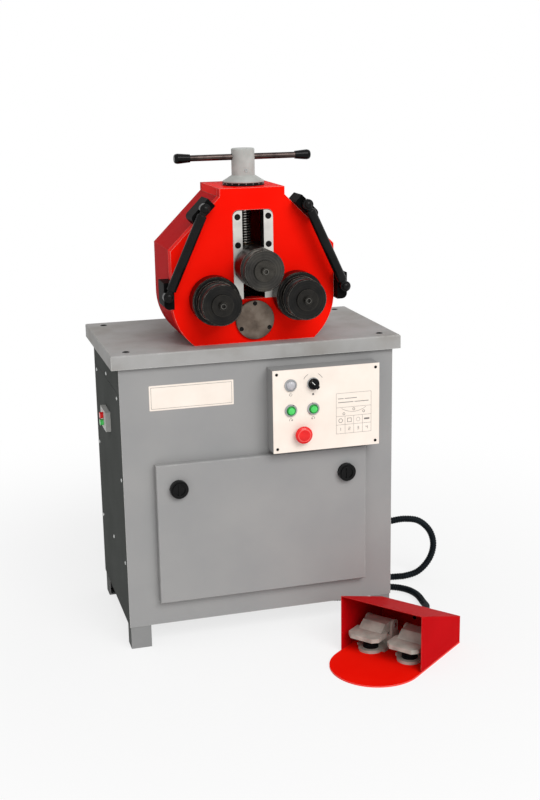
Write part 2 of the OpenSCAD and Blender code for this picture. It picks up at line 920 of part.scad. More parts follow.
module lower_shaft() {
  color("Gray") roll_shaft(roll_back, fy - flange_t - collar_gap, head_back - 1);
}

module lower_left_shaft() {
  translate([-roll_x, 0, lower_z]) lower_shaft();
}

module lower_right_shaft() {
  translate([roll_x, 0, lower_z]) lower_shaft();
}

module lower_left_roll() {
  translate([-roll_x, 0, lower_z]) lower_roll();
}

module lower_right_roll() {
  translate([roll_x, 0, lower_z]) lower_roll();
}

module lower_right_gear() {
  translate([roll_x, 0, lower_z]) roll_gear(roll_turn(180 + mesh_angle, 0));
}

module lower_left_gear() {
  to_left = 180 - mesh_angle;
  teeth_between = round((to_left - mesh_angle) / drive_pitch);
  off = mesh_angle + teeth_between * drive_pitch - to_left;
  translate([-roll_x, 0, lower_z]) roll_gear(roll_turn(-mesh_angle, off));
}

module upper_shaft() {
  color("Gray") translate([0, 0, upper_z]) roll_shaft(roll_back, neck_front - pass, bush_rear - 1);
}

module upper_roll() {
  plain = [[roll_r - roll_edge, 0], [roll_r, roll_edge]];
  color("DarkSlateGray") translate([0, 0, upper_z]) forming_roll(plain);
}

module drive_shaft() {
  color("Gray") along_y(drive_r, fy + 2, reducer_back + 4, 0, drive_z);
}

module drive_gear() {
  color("SlateGray") translate([0, 0, drive_z]) gear(drive_teeth, mesh_angle, drive_r, 10);
}

// HANDLE

module lead_screw() {
  color("Gray") translate([0, screw_y, 0]) {
    translate([0, 0, screw_low]) cylinder(r = screw_r, h = screw_top - screw_low);
    translate([0, 0, collar_low]) cylinder(r = screw_r + 6, h = 14);
  }
}

module dial_ring() {
  color("Black") translate([0, screw_y, dial_low]) difference() {
    cylinder(r = dial_r, h = dial_t);
    translate([0, 0, -eps]) cylinder(r = screw_r + seat, h = dial_t + 2 * eps);
  }
}

// Turned hub on a flared foot, bored for the screw below and for the bar across
module handle_hub() {
  tall = hub_top - dial_top;
  color("Silver") difference() {
    translate([0, screw_y, dial_top]) rotate_extrude() polygon([[0, 0], [dial_r, 0], [dial_r, edge_cut],
      [hub_r, cone_t], [hub_r, tall - edge_cut], [hub_r - edge_cut, tall], [0, tall]]);
    translate([0, screw_y, dial_top - eps]) cylinder(r = screw_r + seat, h = screw_top + 1 - dial_top + eps);
    along_x(bar_r + seat, -dial_r, dial_r, screw_y, bar_z);
  }
}

grip_bore = 24;

module handle_bar() {
  end = bar_len / 2 - grip_len + grip_bore;
  color("Gainsboro") along_x(bar_r, -end, end, screw_y, bar_z);
}

// Tapered grips pushed over the bar's ends
module handle_grips() {
  color("Black") both_sides() translate([bar_len / 2 - grip_len, screw_y, bar_z]) rotate([0, 90, 0])
    rotate_extrude() polygon([[bar_r + seat, 0], [bar_r + 2, 0], [grip_r - 0.5, grip_len * 0.6],
      [grip_r, grip_len * 0.8], [grip_r - 1.5, grip_len - 2], [grip_r - 4, grip_len], [0, grip_len],
      [0, grip_bore + seat], [bar_r + seat, grip_bore + seat]]);
}

// GUIDE BARS

// Bracket outline on a flat seat, with one round outer corner
module bracket_outline() {
  r = 12;
  difference() {
    translate([-bracket_len / 2, 0]) square([bracket_len, bracket_off]);
    translate([bracket_len / 2 - r, bracket_off - r]) difference() {
      square(r + eps);
      circle(r = r);
    }
  }
}

module guide_brackets() {
  down = (upper_eye_along + bracket_slip) * diag;
  color("Black") both_sides() deep(eye_front, eye_front + bracket_depth) {
    translate([head_top_half + down, head_z - head_corner - down]) rotate(-45) bracket_outline();
    translate([head_half, lower_eye_z]) rotate(-90) bracket_outline();
  }
}

module guide_bars() {
  run = sqrt(pow(lower_eye_x - upper_eye_x, 2) + pow(upper_eye_z - lower_eye_z, 2));
  lean = atan2(lower_eye_x - upper_eye_x, upper_eye_z - lower_eye_z);
  color("Black") both_sides() {
    along_y(eye_r, eye_front - eye_t, eye_front, upper_eye_x, upper_eye_z);
    along_y(eye_r, eye_front - eye_t, eye_front, lower_eye_x, lower_eye_z);
    translate([lower_eye_x, eye_front - eye_t / 2, lower_eye_z]) rotate([0, -lean, 0])
      cylinder(r = guide_r, h = run);
  }
}

// DRIVE

// Worm reducer on the table behind the head: a round drum, an upright worm housing and a foot
module reducer() {
  foot_low = [-drum_r - 14, reducer_front, table_height];
  foot_high = [worm_x + spigot_r + 8, reducer_back, table_height + 10];
  cap_t = 5;
  color("LightSlateGray") difference() {
    union() {
      along_y(drum_r, reducer_front, reducer_back, 0, drive_z);
      along_y(drum_r - 16, reducer_front - 4, reducer_back + 3, 0, drive_z);
      translate([worm_x, worm_y, table_height]) cylinder(r = worm_r, h = worm_tall);
      translate([worm_x, worm_y, table_height]) cylinder(r = worm_r - 8, h = worm_tall + cap_t);
      box(foot_low, foot_high);
    }
    along_y(drive_r + pass, reducer_front - 5, reducer_back + 5, 0, drive_z);
  }
}

// Flange motor that hangs through the table, with cooling ribs, a terminal box and a fan cowl
module motor() {
  flange = 10;
  rib = 4;
  cowl = 50;
  top = table_under - flange;
  color("SteelBlue") translate([worm_x, worm_y, 0]) {
    translate([0, 0, top]) cylinder(r = motor_r + 6, h = flange);
    translate([0, 0, table_under - eps]) cylinder(r = spigot_r - seat, h = table_plate + eps);
    translate([0, 0, top - motor_len]) cylinder(r = motor_r - rib, h = motor_len + eps);
    translate([0, 0, top - motor_len]) cylinder(r = motor_r, h = cowl);
    for (a = [0:15:345]) rotate(a) translate([motor_r - rib - 2, -1.25, top - motor_len + cowl])
      cube([rib + 2, 2.5, motor_len - cowl - 20]);
    box([-motor_r - 34, -34, top - 120], [-motor_r + 10, 34, top - 36]);
  }
}

// FOOT SWITCH

module at_foot() {
  translate([foot_x, foot_y, 0]) rotate(foot_turn) children();
}

module pedal_floor() {
  half = guard_width / 2;
  color("Red") at_foot() linear_extrude(floor_t) {
    translate([0, apron_r - apron_reach]) circle(r = apron_r, $fn = 128);
    translate([-half, apron_r - apron_reach]) square([guard_width, guard_depth + apron_reach - apron_r]);
  }
}

// An outline drawn back along Y and up Z, drawn out to both sides
module sideways(half) {
  translate([-half, 0, 0]) rotate([90, 0, 90]) linear_extrude(2 * half) children();
}

// Sheet hood, open in front and underneath
module pedal_guard() {
  half = guard_width / 2;
  fall = (guard_front - guard_back) / guard_depth;
  color("Red") at_foot() difference() {
    sideways(half)
      polygon([[0, floor_t], [guard_depth, floor_t], [guard_depth, guard_back], [0, guard_front]]);
    sideways(half - guard_sheet) polygon([[-eps, floor_t - eps], [guard_depth - guard_sheet, floor_t - eps],
      [guard_depth - guard_sheet, guard_back - guard_sheet + fall * guard_sheet],
      [-eps, guard_front - guard_sheet + fall * eps]]);
    along_y(hose_bore, guard_depth - guard_sheet - eps, guard_depth + eps, gland_side, gland_h);
  }
}

module at_pedal(s) {
  at_foot() translate([s * pedal_side, 0, 0]) children();
}

// Cast stand: a round foot under the tread, a bumper, a body behind and two ears for the pin
module pedal_stand() {
  ear_out = ear_in + ear_t;
  ear_r = barrel_r + 1;
  bumper_r = 12;
  body_front = hinge_v - 16;
  body_back = hinge_v + 20;
  body_top = tread_low - 7;
  difference() {
    union() {
      translate([0, foot_v, floor_t]) cylinder(r = foot_r, h = foot_t);
      translate([0, foot_v, floor_t]) cylinder(r = bumper_r, h = tread_low - floor_t - tread_room);
      box([-ear_out, foot_v, floor_t], [ear_out, body_back, floor_t + foot_t - 1]);
      box([-ear_out, body_front, floor_t], [ear_out, body_back, body_top]);
      both_sides() {
        box([ear_in + pass, hinge_v - ear_r, floor_t], [ear_out, hinge_v + ear_r, hinge_h]);
        along_x(ear_r, ear_in + pass, ear_out, hinge_v, hinge_h);
      }
    }
    along_x(pin_r + running, -ear_out - eps, ear_out + eps, hinge_v, hinge_h);
  }
}

module pedal_stands() {
  color("Tan") for (s = [-1, 1]) at_pedal(s) pedal_stand();
}

// Tread: a plate with cut corners, rising to a barrel between the ears, on its own pin
module tread() {
  half = tread_width / 2;
  cut = 12;
  wide_back = 62;
  rise = tread_low + tread_t;
  translate([0, 0, tread_low]) linear_extrude(tread_t) polygon([[-half + cut, tread_front],
    [half - cut, tread_front], [half, tread_front + cut], [half, wide_back - cut], [half - cut, wide_back],
    [-half + cut, wide_back], [-half, wide_back - cut], [-half, tread_front + cut]]);
  sideways(ear_in - pass) {
    polygon([[wide_back - 24, rise - eps], [wide_back - 2, hinge_h + barrel_r], [hinge_v, hinge_h + barrel_r],
      [hinge_v, tread_low], [wide_back - 24, tread_low]]);
    translate([hinge_v, hinge_h]) circle(r = barrel_r);
  }
  along_x(pin_r, -ear_in - ear_t, ear_in + ear_t, hinge_v, hinge_h);
}

module tread_left() {
  color("Tan") at_pedal(-1) tread();
}

module tread_right() {
  color("Tan") at_pedal(1) tread();
}

// HOSE

// Gland along Z: a six-sided body and a round dome nut
module gland() {
  difference() {
    union() {
      cylinder(r = hose_r + 7, h = gland_len * 0.45, $fn = 6);
      cylinder(r = hose_r + 4, h = gland_len);
    }
    translate([0, 0, -eps]) cylinder(r = hose_bore, h = gland_len + 2 * eps);
  }
}

module glands() {
  color("Black") {
    translate([cab_side, hose_points[0][1], hose_points[0][2]]) rotate([0, 90, 0]) gland();
    at_foot() translate([gland_side, guard_depth, gland_h]) rotate([-90, 0, 0]) gland();
  }
}

function spline(p, i, t) = let (
    n = len(p) - 1,
    a = p[max(i - 1, 0)],
    b = p[i],
    c = p[min(i + 1, n)],
    d = p[min(i + 2, n)]
  ) 0.5 * (2 * b + t * (c - a) + t * t * (2 * a - 5 * b + 4 * c - d) + t * t * t * (3 * b - a - 3 * c + d));

steps = 8;
foot_dir = [-sin(foot_turn), cos(foot_turn), 0];
foot_across = [cos(foot_turn), sin(foot_turn), 0];
hose_start = [cab_side + gland_len, hose_points[0][1], hose_points[0][2]];
hose_end = [foot_x, foot_y, gland_h] + gland_side * foot_across + (guard_depth + gland_len) * foot_dir;
hose_route = concat([hose_start], [for (i = [1:len(hose_points) - 2]) hose_points[i]], [hose_end]);
hose_fine = concat([for (i = [0:len(hose_route) - 2]) for (k = [0:steps - 1])
  spline(hose_route, i, k / steps)], [hose_end]);

function run_to(p, i) = i == 0 ? 0 : run_to(p, i - 1) + norm(p[i] - p[i - 1]);
hose_runs = [for (i = [0:len(hose_fine) - 1]) run_to(hose_fine, i)];
hose_len = hose_runs[len(hose_runs) - 1];
hose_table = [for (a = [0:2]) [for (i = [0:len(hose_fine) - 1]) [hose_runs[i], hose_fine[i][a]]]];

function hose_at(s) = [for (a = [0:2]) lookup(s, hose_table[a])];
function unit(v) = v / norm(v);

// A ring of 8 points round the route at run s, the ends square to the glands
function hose_ring(s, r) = let (
    t = s < hose_r ? [1, 0, 0] : s > hose_len - hose_r ? -foot_dir : unit(hose_at(s + 3) - hose_at(s - 3)),
    n = unit(cross(t, [1, 1, 1])),
    b = cross(t, n)
  ) [for (k = [0:7]) hose_at(s) + r * (cos(45 * k) * n + sin(45 * k) * b)];

rib_step = hose_len / rib_count;
outer_rings = concat([hose_ring(0, hose_r)], [for (i = [0:rib_count - 1]) each [
  hose_ring((i + 0.3) * rib_step, hose_r), hose_ring((i + 0.8) * rib_step, hose_r - rib_depth)]],
  [hose_ring(hose_len, hose_r)]);
bore_count = floor(rib_count / 2);
bore_rings = [for (i = [0:bore_count]) hose_ring(hose_len * i / bore_count, hose_bore)];

function skin(first, count, out) = [for (i = [0:count - 2]) for (k = [0:7]) let (
    a = first + 8 * i + k,
    b = first + 8 * i + (k + 1) % 8
  ) each (out ? [[a, a + 8, b], [b, a + 8, b + 8]] : [[a, b, a + 8], [b, b + 8, a + 8]])];

function rim(a, b, out) = [for (k = [0:7]) let (m = (k + 1) % 8)
  each (out ? [[a + k, a + m, b + k], [a + m, b + m, b + k]]
    : [[a + k, b + k, a + m], [a + m, b + k, b + m]])];

// The least clear distance of the hose from itself, over points more than half a loop apart along it
apart = 24;
hose_gap = min([for (i = [0:len(hose_fine) - 1]) for (j = [i + apart:1:len(hose_fine) - 1])
  norm(hose_fine[i] - hose_fine[j])]) - 2 * hose_r;
echo(hose_length = hose_len, least_gap = hose_gap);

// Ribbed conduit: one tube with its bore, two rings to a rib
module hose() {
  n = len(outer_rings);
  m = len(bore_rings);
  inner = 8 * n;
  color("Black") polyhedron(points = [for (g = concat(outer_rings, bore_rings)) each g],
    faces = concat(skin(0, n, true), skin(inner, m, false), rim(0, inner, true),
      rim(8 * (n - 1), inner + 8 * (m - 1), false)));
}

legs();
cabinet_floor();
front_sheet();
left_panel();
right_panel();
side_headers();
back_panel();
table_top();
front_hatch();
latch_left();
latch_right();
control_box();
control_plate();
bezels();
lamp_lens();
selector_knob();
start_left();
start_right();
stop_button();
main_switch_box();
main_stop();
main_start();
head_front();
head_side_left();
head_side_right();
head_top();
head_rear();
guide_rails();
bearing_cover();
bushes();
slide_block();
lead_nut();
carriage_bush();
upper_shaft();
upper_roll();
lower_left_shaft();
lower_left_roll();
lower_left_gear();
lower_right_shaft();
lower_right_roll();
lower_right_gear();
drive_shaft();
drive_gear();
lead_screw();
dial_ring();
handle_hub();
handle_bar();
handle_grips();
guide_brackets();
guide_bars();
reducer();
motor();
pedal_floor();
pedal_guard();
pedal_stands();
tread_left();
tread_right();
glands();
hose();
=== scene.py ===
"""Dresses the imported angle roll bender: camera, hose, finishes, small pieces, floor and light, in metres."""
import json
import math

import bpy
import numpy as np
from mathutils import Matrix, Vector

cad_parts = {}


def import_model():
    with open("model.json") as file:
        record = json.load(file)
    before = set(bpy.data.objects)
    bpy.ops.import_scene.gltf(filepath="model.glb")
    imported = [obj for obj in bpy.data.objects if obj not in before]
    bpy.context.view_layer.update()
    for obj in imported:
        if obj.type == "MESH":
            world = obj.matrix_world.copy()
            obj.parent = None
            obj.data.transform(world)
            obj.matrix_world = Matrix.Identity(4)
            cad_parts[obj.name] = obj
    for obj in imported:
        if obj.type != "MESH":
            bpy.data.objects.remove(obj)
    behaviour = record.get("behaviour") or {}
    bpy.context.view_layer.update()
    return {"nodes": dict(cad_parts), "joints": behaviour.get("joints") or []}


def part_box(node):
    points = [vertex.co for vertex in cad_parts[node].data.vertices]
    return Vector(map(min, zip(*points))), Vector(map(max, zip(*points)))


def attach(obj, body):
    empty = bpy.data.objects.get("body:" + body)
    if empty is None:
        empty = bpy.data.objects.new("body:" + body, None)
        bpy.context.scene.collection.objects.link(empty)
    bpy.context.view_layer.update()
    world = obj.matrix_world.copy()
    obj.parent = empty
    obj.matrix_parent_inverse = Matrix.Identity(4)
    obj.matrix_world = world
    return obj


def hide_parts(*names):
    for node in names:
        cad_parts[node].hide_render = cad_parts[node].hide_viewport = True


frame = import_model()
MM = 0.001
X, Y, Z = np.eye(3)


def middle(node):
    """The middle of a CAD node's box."""
    return np.mean(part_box(node), axis=0)


def front(node):
    """The middle of the front of a CAD node's box."""
    x, _, z = middle(node)
    return np.array([x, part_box(node)[0][1], z])


def spin_axis(joint):
    """The place of a joint's axis."""
    return next(tuple(j["pos_m"]) for j in frame["joints"] if j["name"] == joint)


def put(name, data):
    """Adds an object to the scene."""
    obj = bpy.data.objects.new(name, data)
    bpy.context.scene.collection.objects.link(obj)
    return obj


def aim(name, data, right, up, back, place):
    """Adds a camera or a lamp at a place, with its own three axes along the directions given."""
    pose = np.eye(4)
    pose[:3] = np.stack([right, up, back, place], -1)
    obj = put(name, data)
    obj.matrix_world = Matrix(pose.tolist())
    return obj


# Shapes: every piece is a surface over a grid of points, put together as whole arrays

def shell(points, open_ends=True):
    """A closed skin over a grid of rings: quads join ring i to ring i + 1, and a fan to its mean closes each
    end ring. With open_ends false, the last ring joins the first instead, as on a torus. If the
    faces' corner tetrahedra sum to a negative volume, every face is turned over."""
    rings, sides, _ = points.shape
    i, j = np.meshgrid(np.arange(rings - 1 if open_ends else rings), np.arange(sides), indexing="ij")
    up, over = (i + 1) % rings, (j + 1) % sides
    quads = np.stack([i * sides + j, i * sides + over, up * sides + over, up * sides + j], -1).reshape(-1, 4)
    verts = points.reshape(-1, 3)
    fans = np.empty((0, 3), dtype=int)
    if open_ends:
        here, there = np.arange(sides), (np.arange(sides) + 1) % sides
        last, hub = (rings - 1) * sides, np.full(sides, len(verts))
        fans = np.vstack([np.stack([hub, there, here], -1),
                          np.stack([hub + 1, last + here, last + there], -1)])
        verts = np.vstack([verts, points[0].mean(0), points[-1].mean(0)])
    a, b, c = verts[np.vstack([quads[:, [0, 1, 2]], quads[:, [0, 2, 3]], fans])].transpose(1, 0, 2)
    if (a * np.cross(b, c)).sum() < 0:
        quads, fans = quads[:, ::-1], fans[:, ::-1]
    return verts, quads, fans


def piece(name, shells, material, body="machine", crease=40):
    """One object of several skins, smooth up to the crease angle in degrees, riding on a body."""
    starts = np.cumsum([0] + [len(verts) for verts, _, _ in shells])
    faces = [face for (_, quads, fans), start in zip(shells, starts)
             for face in (quads + start).tolist() + (fans + start).tolist()]
    mesh = bpy.data.meshes.new(name)
    mesh.from_pydata(np.vstack([verts for verts, _, _ in shells]).tolist(), [], faces)
    mesh.polygons.foreach_set("use_smooth", np.ones(len(faces), dtype=bool))
    mesh.set_sharp_from_angle(angle=math.radians(crease))
    mesh.materials.append(material)
    mesh.validate()
    obj = put(name, mesh)
    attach(obj, body)
    return obj


def across(axis):
    """Two unit directions square to an axis and to each other."""
    side = np.cross(axis, Z if abs(axis[2]) < 0.9 else X)
    side = side / np.linalg.norm(side)
    return side, np.cross(axis, side)


def spokes(axis, sides):
    """Unit directions all round an axis, and their turns."""
    turn = np.linspace(0, 2 * math.pi, sides, endpoint=False)
    e1, e2 = across(axis)
    return np.cos(turn)[:, None] * e1 + np.sin(turn)[:, None] * e2, turn


def lathe(profile, centre, axis, sides):
    """A turned form: each (radius, height) of the profile is carried round the axis through the centre."""
    r, h = np.array(profile, float).T
    spoke, _ = spokes(axis, sides)
    return shell(np.asarray(centre) + r[:, None, None] * spoke[None] + h[:, None, None] * axis)


def socket_screw(centre, axis, head_r, head_h, key_r):
    """A cap screw: rings up its side and over its chamfer, then down a six-sided socket whose radius at a turn
    t is the flat distance over the cosine of t, measured from the middle of a side."""
    spoke, turn = spokes(axis, 48)
    hexagon = math.cos(math.pi / 6) / np.cos(np.mod(turn, math.pi / 3) - math.pi / 6)
    even = np.ones_like(turn)
    chamfer, depth, lip = 0.16 * head_r, 0.7 * head_h, 0.06 * key_r
    rings = [(head_r * even, 0), (head_r * even, head_h - chamfer), ((head_r - chamfer) * even, head_h),
             ((key_r + lip) * hexagon, head_h), (key_r * hexagon, head_h - lip),
             (key_r * hexagon, head_h - depth)]
    return shell(np.array([np.asarray(centre) + r[:, None] * spoke + h * axis for r, h in rings]))


def screw_ring(centre, axis, over, radius, turns, screw):
    """Cap screws round a centre, at turns in degrees from +X towards the direction over."""
    return [socket_screw(centre + radius * (math.cos(a) * X + math.sin(a) * over), axis, *screw)
            for a in np.radians(turns)]


def dome_screw(centre, axis, head_r, head_h):
    """A round-headed screw: its height falls from the middle as a quarter ellipse, with a rim at the foot."""
    rim = 0.2
    rise = np.linspace(0, math.pi / 2, 9)[:-1]
    radius = np.concatenate([[head_r], head_r * np.cos(rise)])
    height = np.concatenate([[0], head_h * (rim + (1 - rim) * np.sin(rise))])
    return lathe(np.stack([radius, height], -1), centre, axis, 28)


def rounded_outline(width, height, corner, steps=6):
    """A rectangle's outline about its middle: a quarter circle at each corner, turned a right angle on."""
    arc = (np.arange(4)[:, None] * math.pi / 2 + np.linspace(0, math.pi / 2, steps)).reshape(-1)
    signs = np.repeat([[1, 1], [-1, 1], [-1, -1], [1, -1]], steps, axis=0)
    straight = [width / 2 - corner, height / 2 - corner]
    return np.stack([np.cos(arc), np.sin(arc)], -1) * corner + signs * straight


def plate(centre, right, up, width, height, thick, corner, edge):
    """A thin plate with round corners: its outline is carried out from its back and drawn in at its face."""
    out = np.cross(right, up)
    rings = []
    for inset, rise in ((0, 0), (0, thick - edge), (edge, thick)):
        flat = rounded_outline(width - 2 * inset, height - 2 * inset, max(corner - inset, 0.2 * corner))
        rings.append(np.asarray(centre) + flat[:, :1] * right + flat[:, 1:] * up + rise * out)
    return shell(np.array(rings))


# Materials: one function adds a node, and every colour is a hex value

# The part of a noise's range over which a finish spreads its tones: its start and its span
TONE_LOW, TONE_SPAN = 0.3, 0.4
# The range of the relief over which the roughness changes, and the strength of the relief
RELIEF_RANGE, BUMP = (0.25, 0.9), 0.6
# The wave texture's scale for rings 1 mm apart, the rings' share in the relief, and how dark they go
RING_SCALE, RING_RELIEF, RING_SHADE = 100 * math.pi, 0.7, 0.72
# A pit's fade, in shares of the pits' spacing, and how much of its shade shows
PIT_FADE, PIT_SHADE = (0.05, 0.12), 0.35
# The normal's share along Y over which a face turns from a side, under its painted shade, to a front
SIDE_SHADE_FADE = (0.5, 0.9)
# How far a noise breaks the line of an edge's wear and painted highlight, the noise's size in edge widths, and
# the line's fade
RUB, RUB_SIZE, RUB_FADE = 0.25, 9, 0.07


def linear(code):
    """An sRGB hex colour as linear red, green, blue and alpha."""
    parts = [int(code[k:k + 2], 16) / 255 for k in (1, 3, 5)]
    return tuple(c / 12.92 if c <= 0.04045 else ((c + 0.055) / 1.055) ** 2.4 for c in parts) + (1.0,)


def add(tree, kind, settings=None, inputs=None, stops=None):
    """Adds a node: its settings, then its inputs, each a value or an output to link, then its colour stops."""
    node = tree.nodes.new(kind)
    for key, value in (settings or {}).items():
        setattr(node, key, value)
    for key, value in (inputs or {}).items():
        if isinstance(value, bpy.types.NodeSocket):
            tree.links.new(value, node.inputs[key])
        else:
            node.inputs[key].default_value = value
    for k, (place, colour) in enumerate(stops or []):
        element = node.color_ramp.elements[k] if k < 2 else node.color_ramp.elements.new(place)
        element.position = place
        element.color = colour
    return node


def blank(data):
    """The emptied node tree of a material or a world."""
    data.use_nodes = True
    data.node_tree.nodes.clear()
    return data.node_tree


def finish(name, tones, roughness, patch_mm, grain_mm, grain_height, metallic=0.0, stretch=(1, 1, 1),
           rings=None, specular=0.5, speckle=0.0, wear=None, sides=None, crest_highlight=None):
    """A surface with its own body colour, cloudy in patches, and a fine grain that lifts it and breaks its
    gloss. Tones run from dark to light, and roughness from smooth to rough; patch_mm, grain_mm and
    grain_height are the patches' and the grain's size and the grain's depth, in millimetres; stretch draws the
    grain out along an axis. Over the body colour lie coats: rings, an (axis letter, centre, spacing in mm),
    the fine rings that turning leaves; speckle, pits at a spacing in mm; sides, the tone of painted shade on
    faces that don't look to the front or back; crest_highlight, an (attribute, tone) for a painted highlight
    that the mesh itself marks; and wear, a (tone, width in mm, reach) for edges that are
    worn through and for a painted highlight along edges, where the normal of a rounded edge and the face's own
    normal part, and a longer reach wears blunter edges."""
    material = bpy.data.materials.new(name)
    tree = blank(material)
    place = add(tree, "ShaderNodeTexCoord").outputs["Object"]
    patch = add(tree, "ShaderNodeTexNoise", None, {"Vector": place, "Scale": 1000 / patch_mm, "Detail": 4.0})
    stops = [(TONE_LOW + TONE_SPAN * k / (len(tones) - 1), linear(tone)) for k, tone in enumerate(tones)]
    base = add(tree, "ShaderNodeValToRGB", None, {"Fac": patch.outputs["Fac"]}, stops).outputs["Color"]
    drawn = add(tree, "ShaderNodeMapping", None, {"Vector": place, "Scale": stretch})
    relief = add(tree, "ShaderNodeTexNoise", None, {"Vector": drawn.outputs["Vector"],
                                                    "Scale": 1000 / grain_mm, "Detail": 3.0}).outputs["Fac"]
    coats = []
    if rings:
        axis, centre, spacing = rings
        centred = add(tree, "ShaderNodeMapping", {"vector_type": "TEXTURE"},
                      {"Vector": place, "Location": centre})
        wave = add(tree, "ShaderNodeTexWave", {"wave_type": "RINGS", "rings_direction": axis},
                   {"Vector": centred.outputs["Vector"], "Scale": RING_SCALE / spacing, "Distortion": 0.6,
                    "Detail Scale": 3.0}).outputs["Fac"]
        relief = add(tree, "ShaderNodeMath", {"operation": "MULTIPLY_ADD"},
                     {0: wave, 1: RING_RELIEF, 2: relief}).outputs[0]
        shade = add(tree, "ShaderNodeMapRange", None, {"Value": wave, "To Min": RING_SHADE})
        coats.append(("MULTIPLY", 1.0, shade.outputs["Result"]))
    if speckle:
        dots = add(tree, "ShaderNodeTexVoronoi", None, {"Vector": place, "Scale": 1000 / speckle})
        spot = add(tree, "ShaderNodeMapRange", None, {"Value": dots.outputs["Distance"],
                                                      "From Min": PIT_FADE[0], "From Max": PIT_FADE[1]})
        coats.append(("MULTIPLY", PIT_SHADE, spot.outputs["Result"]))
    # Painted shade: a darker tone on the faces that look to the side
    if sides:
        face = add(tree, "ShaderNodeNewGeometry")
        looks = add(tree, "ShaderNodeSeparateXYZ", None, {"Vector": face.outputs["Normal"]})
        frontal = add(tree, "ShaderNodeMath", {"operation": "ABSOLUTE"}, {0: looks.outputs["Y"]})
        turned = add(tree, "ShaderNodeMapRange", None,
                     {"Value": frontal.outputs[0], "From Min": SIDE_SHADE_FADE[0], "From Max": SIDE_SHADE_FADE[1],
                      "To Min": 1.0, "To Max": 0.0})
        coats.append(("MIX", turned.outputs["Result"], linear(sides)))
    # A painted highlight where the mesh marks it
    if crest_highlight:
        mark = add(tree, "ShaderNodeAttribute", {"attribute_name": crest_highlight[0]})
        coats.append(("MIX", mark.outputs["Fac"], linear(crest_highlight[1])))
    # Edges of another tone: real wear on some finishes, and a painted highlight on others
    if wear:
        tone, width, reach = wear
        edge = add(tree, "ShaderNodeBevel", {"samples": 4}, {"Radius": width * MM})
        face = add(tree, "ShaderNodeNewGeometry")
        part = add(tree, "ShaderNodeVectorMath", {"operation": "DOT_PRODUCT"},
                   {0: edge.outputs["Normal"], 1: face.outputs["Normal"]})
        rub = add(tree, "ShaderNodeTexNoise", None,
                  {"Vector": place, "Scale": 1000 / (RUB_SIZE * width), "Detail": 3.0})
        level = add(tree, "ShaderNodeMath", {"operation": "MULTIPLY_ADD"},
                    {0: rub.outputs["Fac"], 1: RUB, 2: part.outputs["Value"]})
        edge_wear_and_highlight_mask = add(tree, "ShaderNodeMapRange", None,
                   {"Value": level.outputs[0], "From Min": reach - RUB_FADE, "From Max": reach,
                    "To Min": 1.0, "To Max": 0.0})
        coats.append(("MIX", edge_wear_and_highlight_mask.outputs["Result"], linear(tone)))
    for blend, share, tone in coats:
        base = add(tree, "ShaderNodeMixRGB", {"blend_type": blend},
                   {"Fac": share, "Color1": base, "Color2": tone}).outputs["Color"]
    gloss = add(tree, "ShaderNodeMapRange", None,
                {"Value": relief, "From Min": RELIEF_RANGE[0], "From Max": RELIEF_RANGE[1],
                 "To Min": roughness[0], "To Max": roughness[1]})
    bump = add(tree, "ShaderNodeBump", None,
               {"Height": relief, "Strength": BUMP, "Distance": grain_height * MM})
    skin = add(tree, "ShaderNodeBsdfPrincipled", None,
               {"Base Color": base, "Roughness": gloss.outputs["Result"], "Normal": bump.outputs["Normal"],
                "Metallic": metallic, "Specular IOR Level": specular})
    add(tree, "ShaderNodeOutputMaterial", None, {"Surface": skin.outputs["BSDF"]})
    return material


def dress(nodes, *look, **more):
    """Gives CAD nodes, named in one string, a finish, and returns it."""
    material = finish(*look, **more)
    for node in nodes.split():
        mesh = frame["nodes"][node].data
        mesh.materials.clear()
        mesh.materials.append(material)
    return material


def soften(width, *nodes):
    """Breaks the sharp edges of CAD nodes, as a press brake or a file does, so that they catch the light."""
    for node in nodes:
        obj = frame["nodes"][node]
        weld = obj.modifiers.new("weld", "WELD")
        weld.merge_threshold = 0.01 * MM
        bevel = obj.modifiers.new("edge", "BEVEL")
        bevel.width = width
        bevel.segments = 2
        bevel.limit_method = "ANGLE"
        bevel.angle_limit = math.radians(50)


# Camera, at the photograph's place: yaw to the right of +Y, pitch down and a slight roll, in degrees

CAMERA_AT = (-0.73728, -2.88311, 1.30599)
YAW, PITCH, ROLL = (math.radians(a) for a in (15.766, 14.663, -0.956))
LENS, SENSOR = 56.71, 36
SIGHT = 60

ahead = np.array([math.sin(YAW) * math.cos(PITCH), math.cos(YAW) * math.cos(PITCH), -math.sin(PITCH)])
level = np.array([math.cos(YAW), -math.sin(YAW), 0])
above = np.cross(level, ahead)
cam_right = math.cos(ROLL) * level + math.sin(ROLL) * above
cam_up = -math.sin(ROLL) * level + math.cos(ROLL) * above
lens = bpy.data.cameras.new("camera")
lens.lens = LENS
lens.sensor_width = lens.sensor_height = SENSOR
lens.clip_end = SIGHT
bpy.context.scene.camera = aim("camera", lens, cam_right, cam_up, -ahead, CAMERA_AT)

# Hose: the route of the conduit from the side panel to the foot switch, given in millimetres

# Corrugated polyamide conduit, extruded and blue-black: soft glints run along its ribs
CONDUIT = finish("corrugated_conduit", ("#0A0E11", "#141B20"), (0.30, 0.46), 30, 0.7, 0.03, specular=0.06)

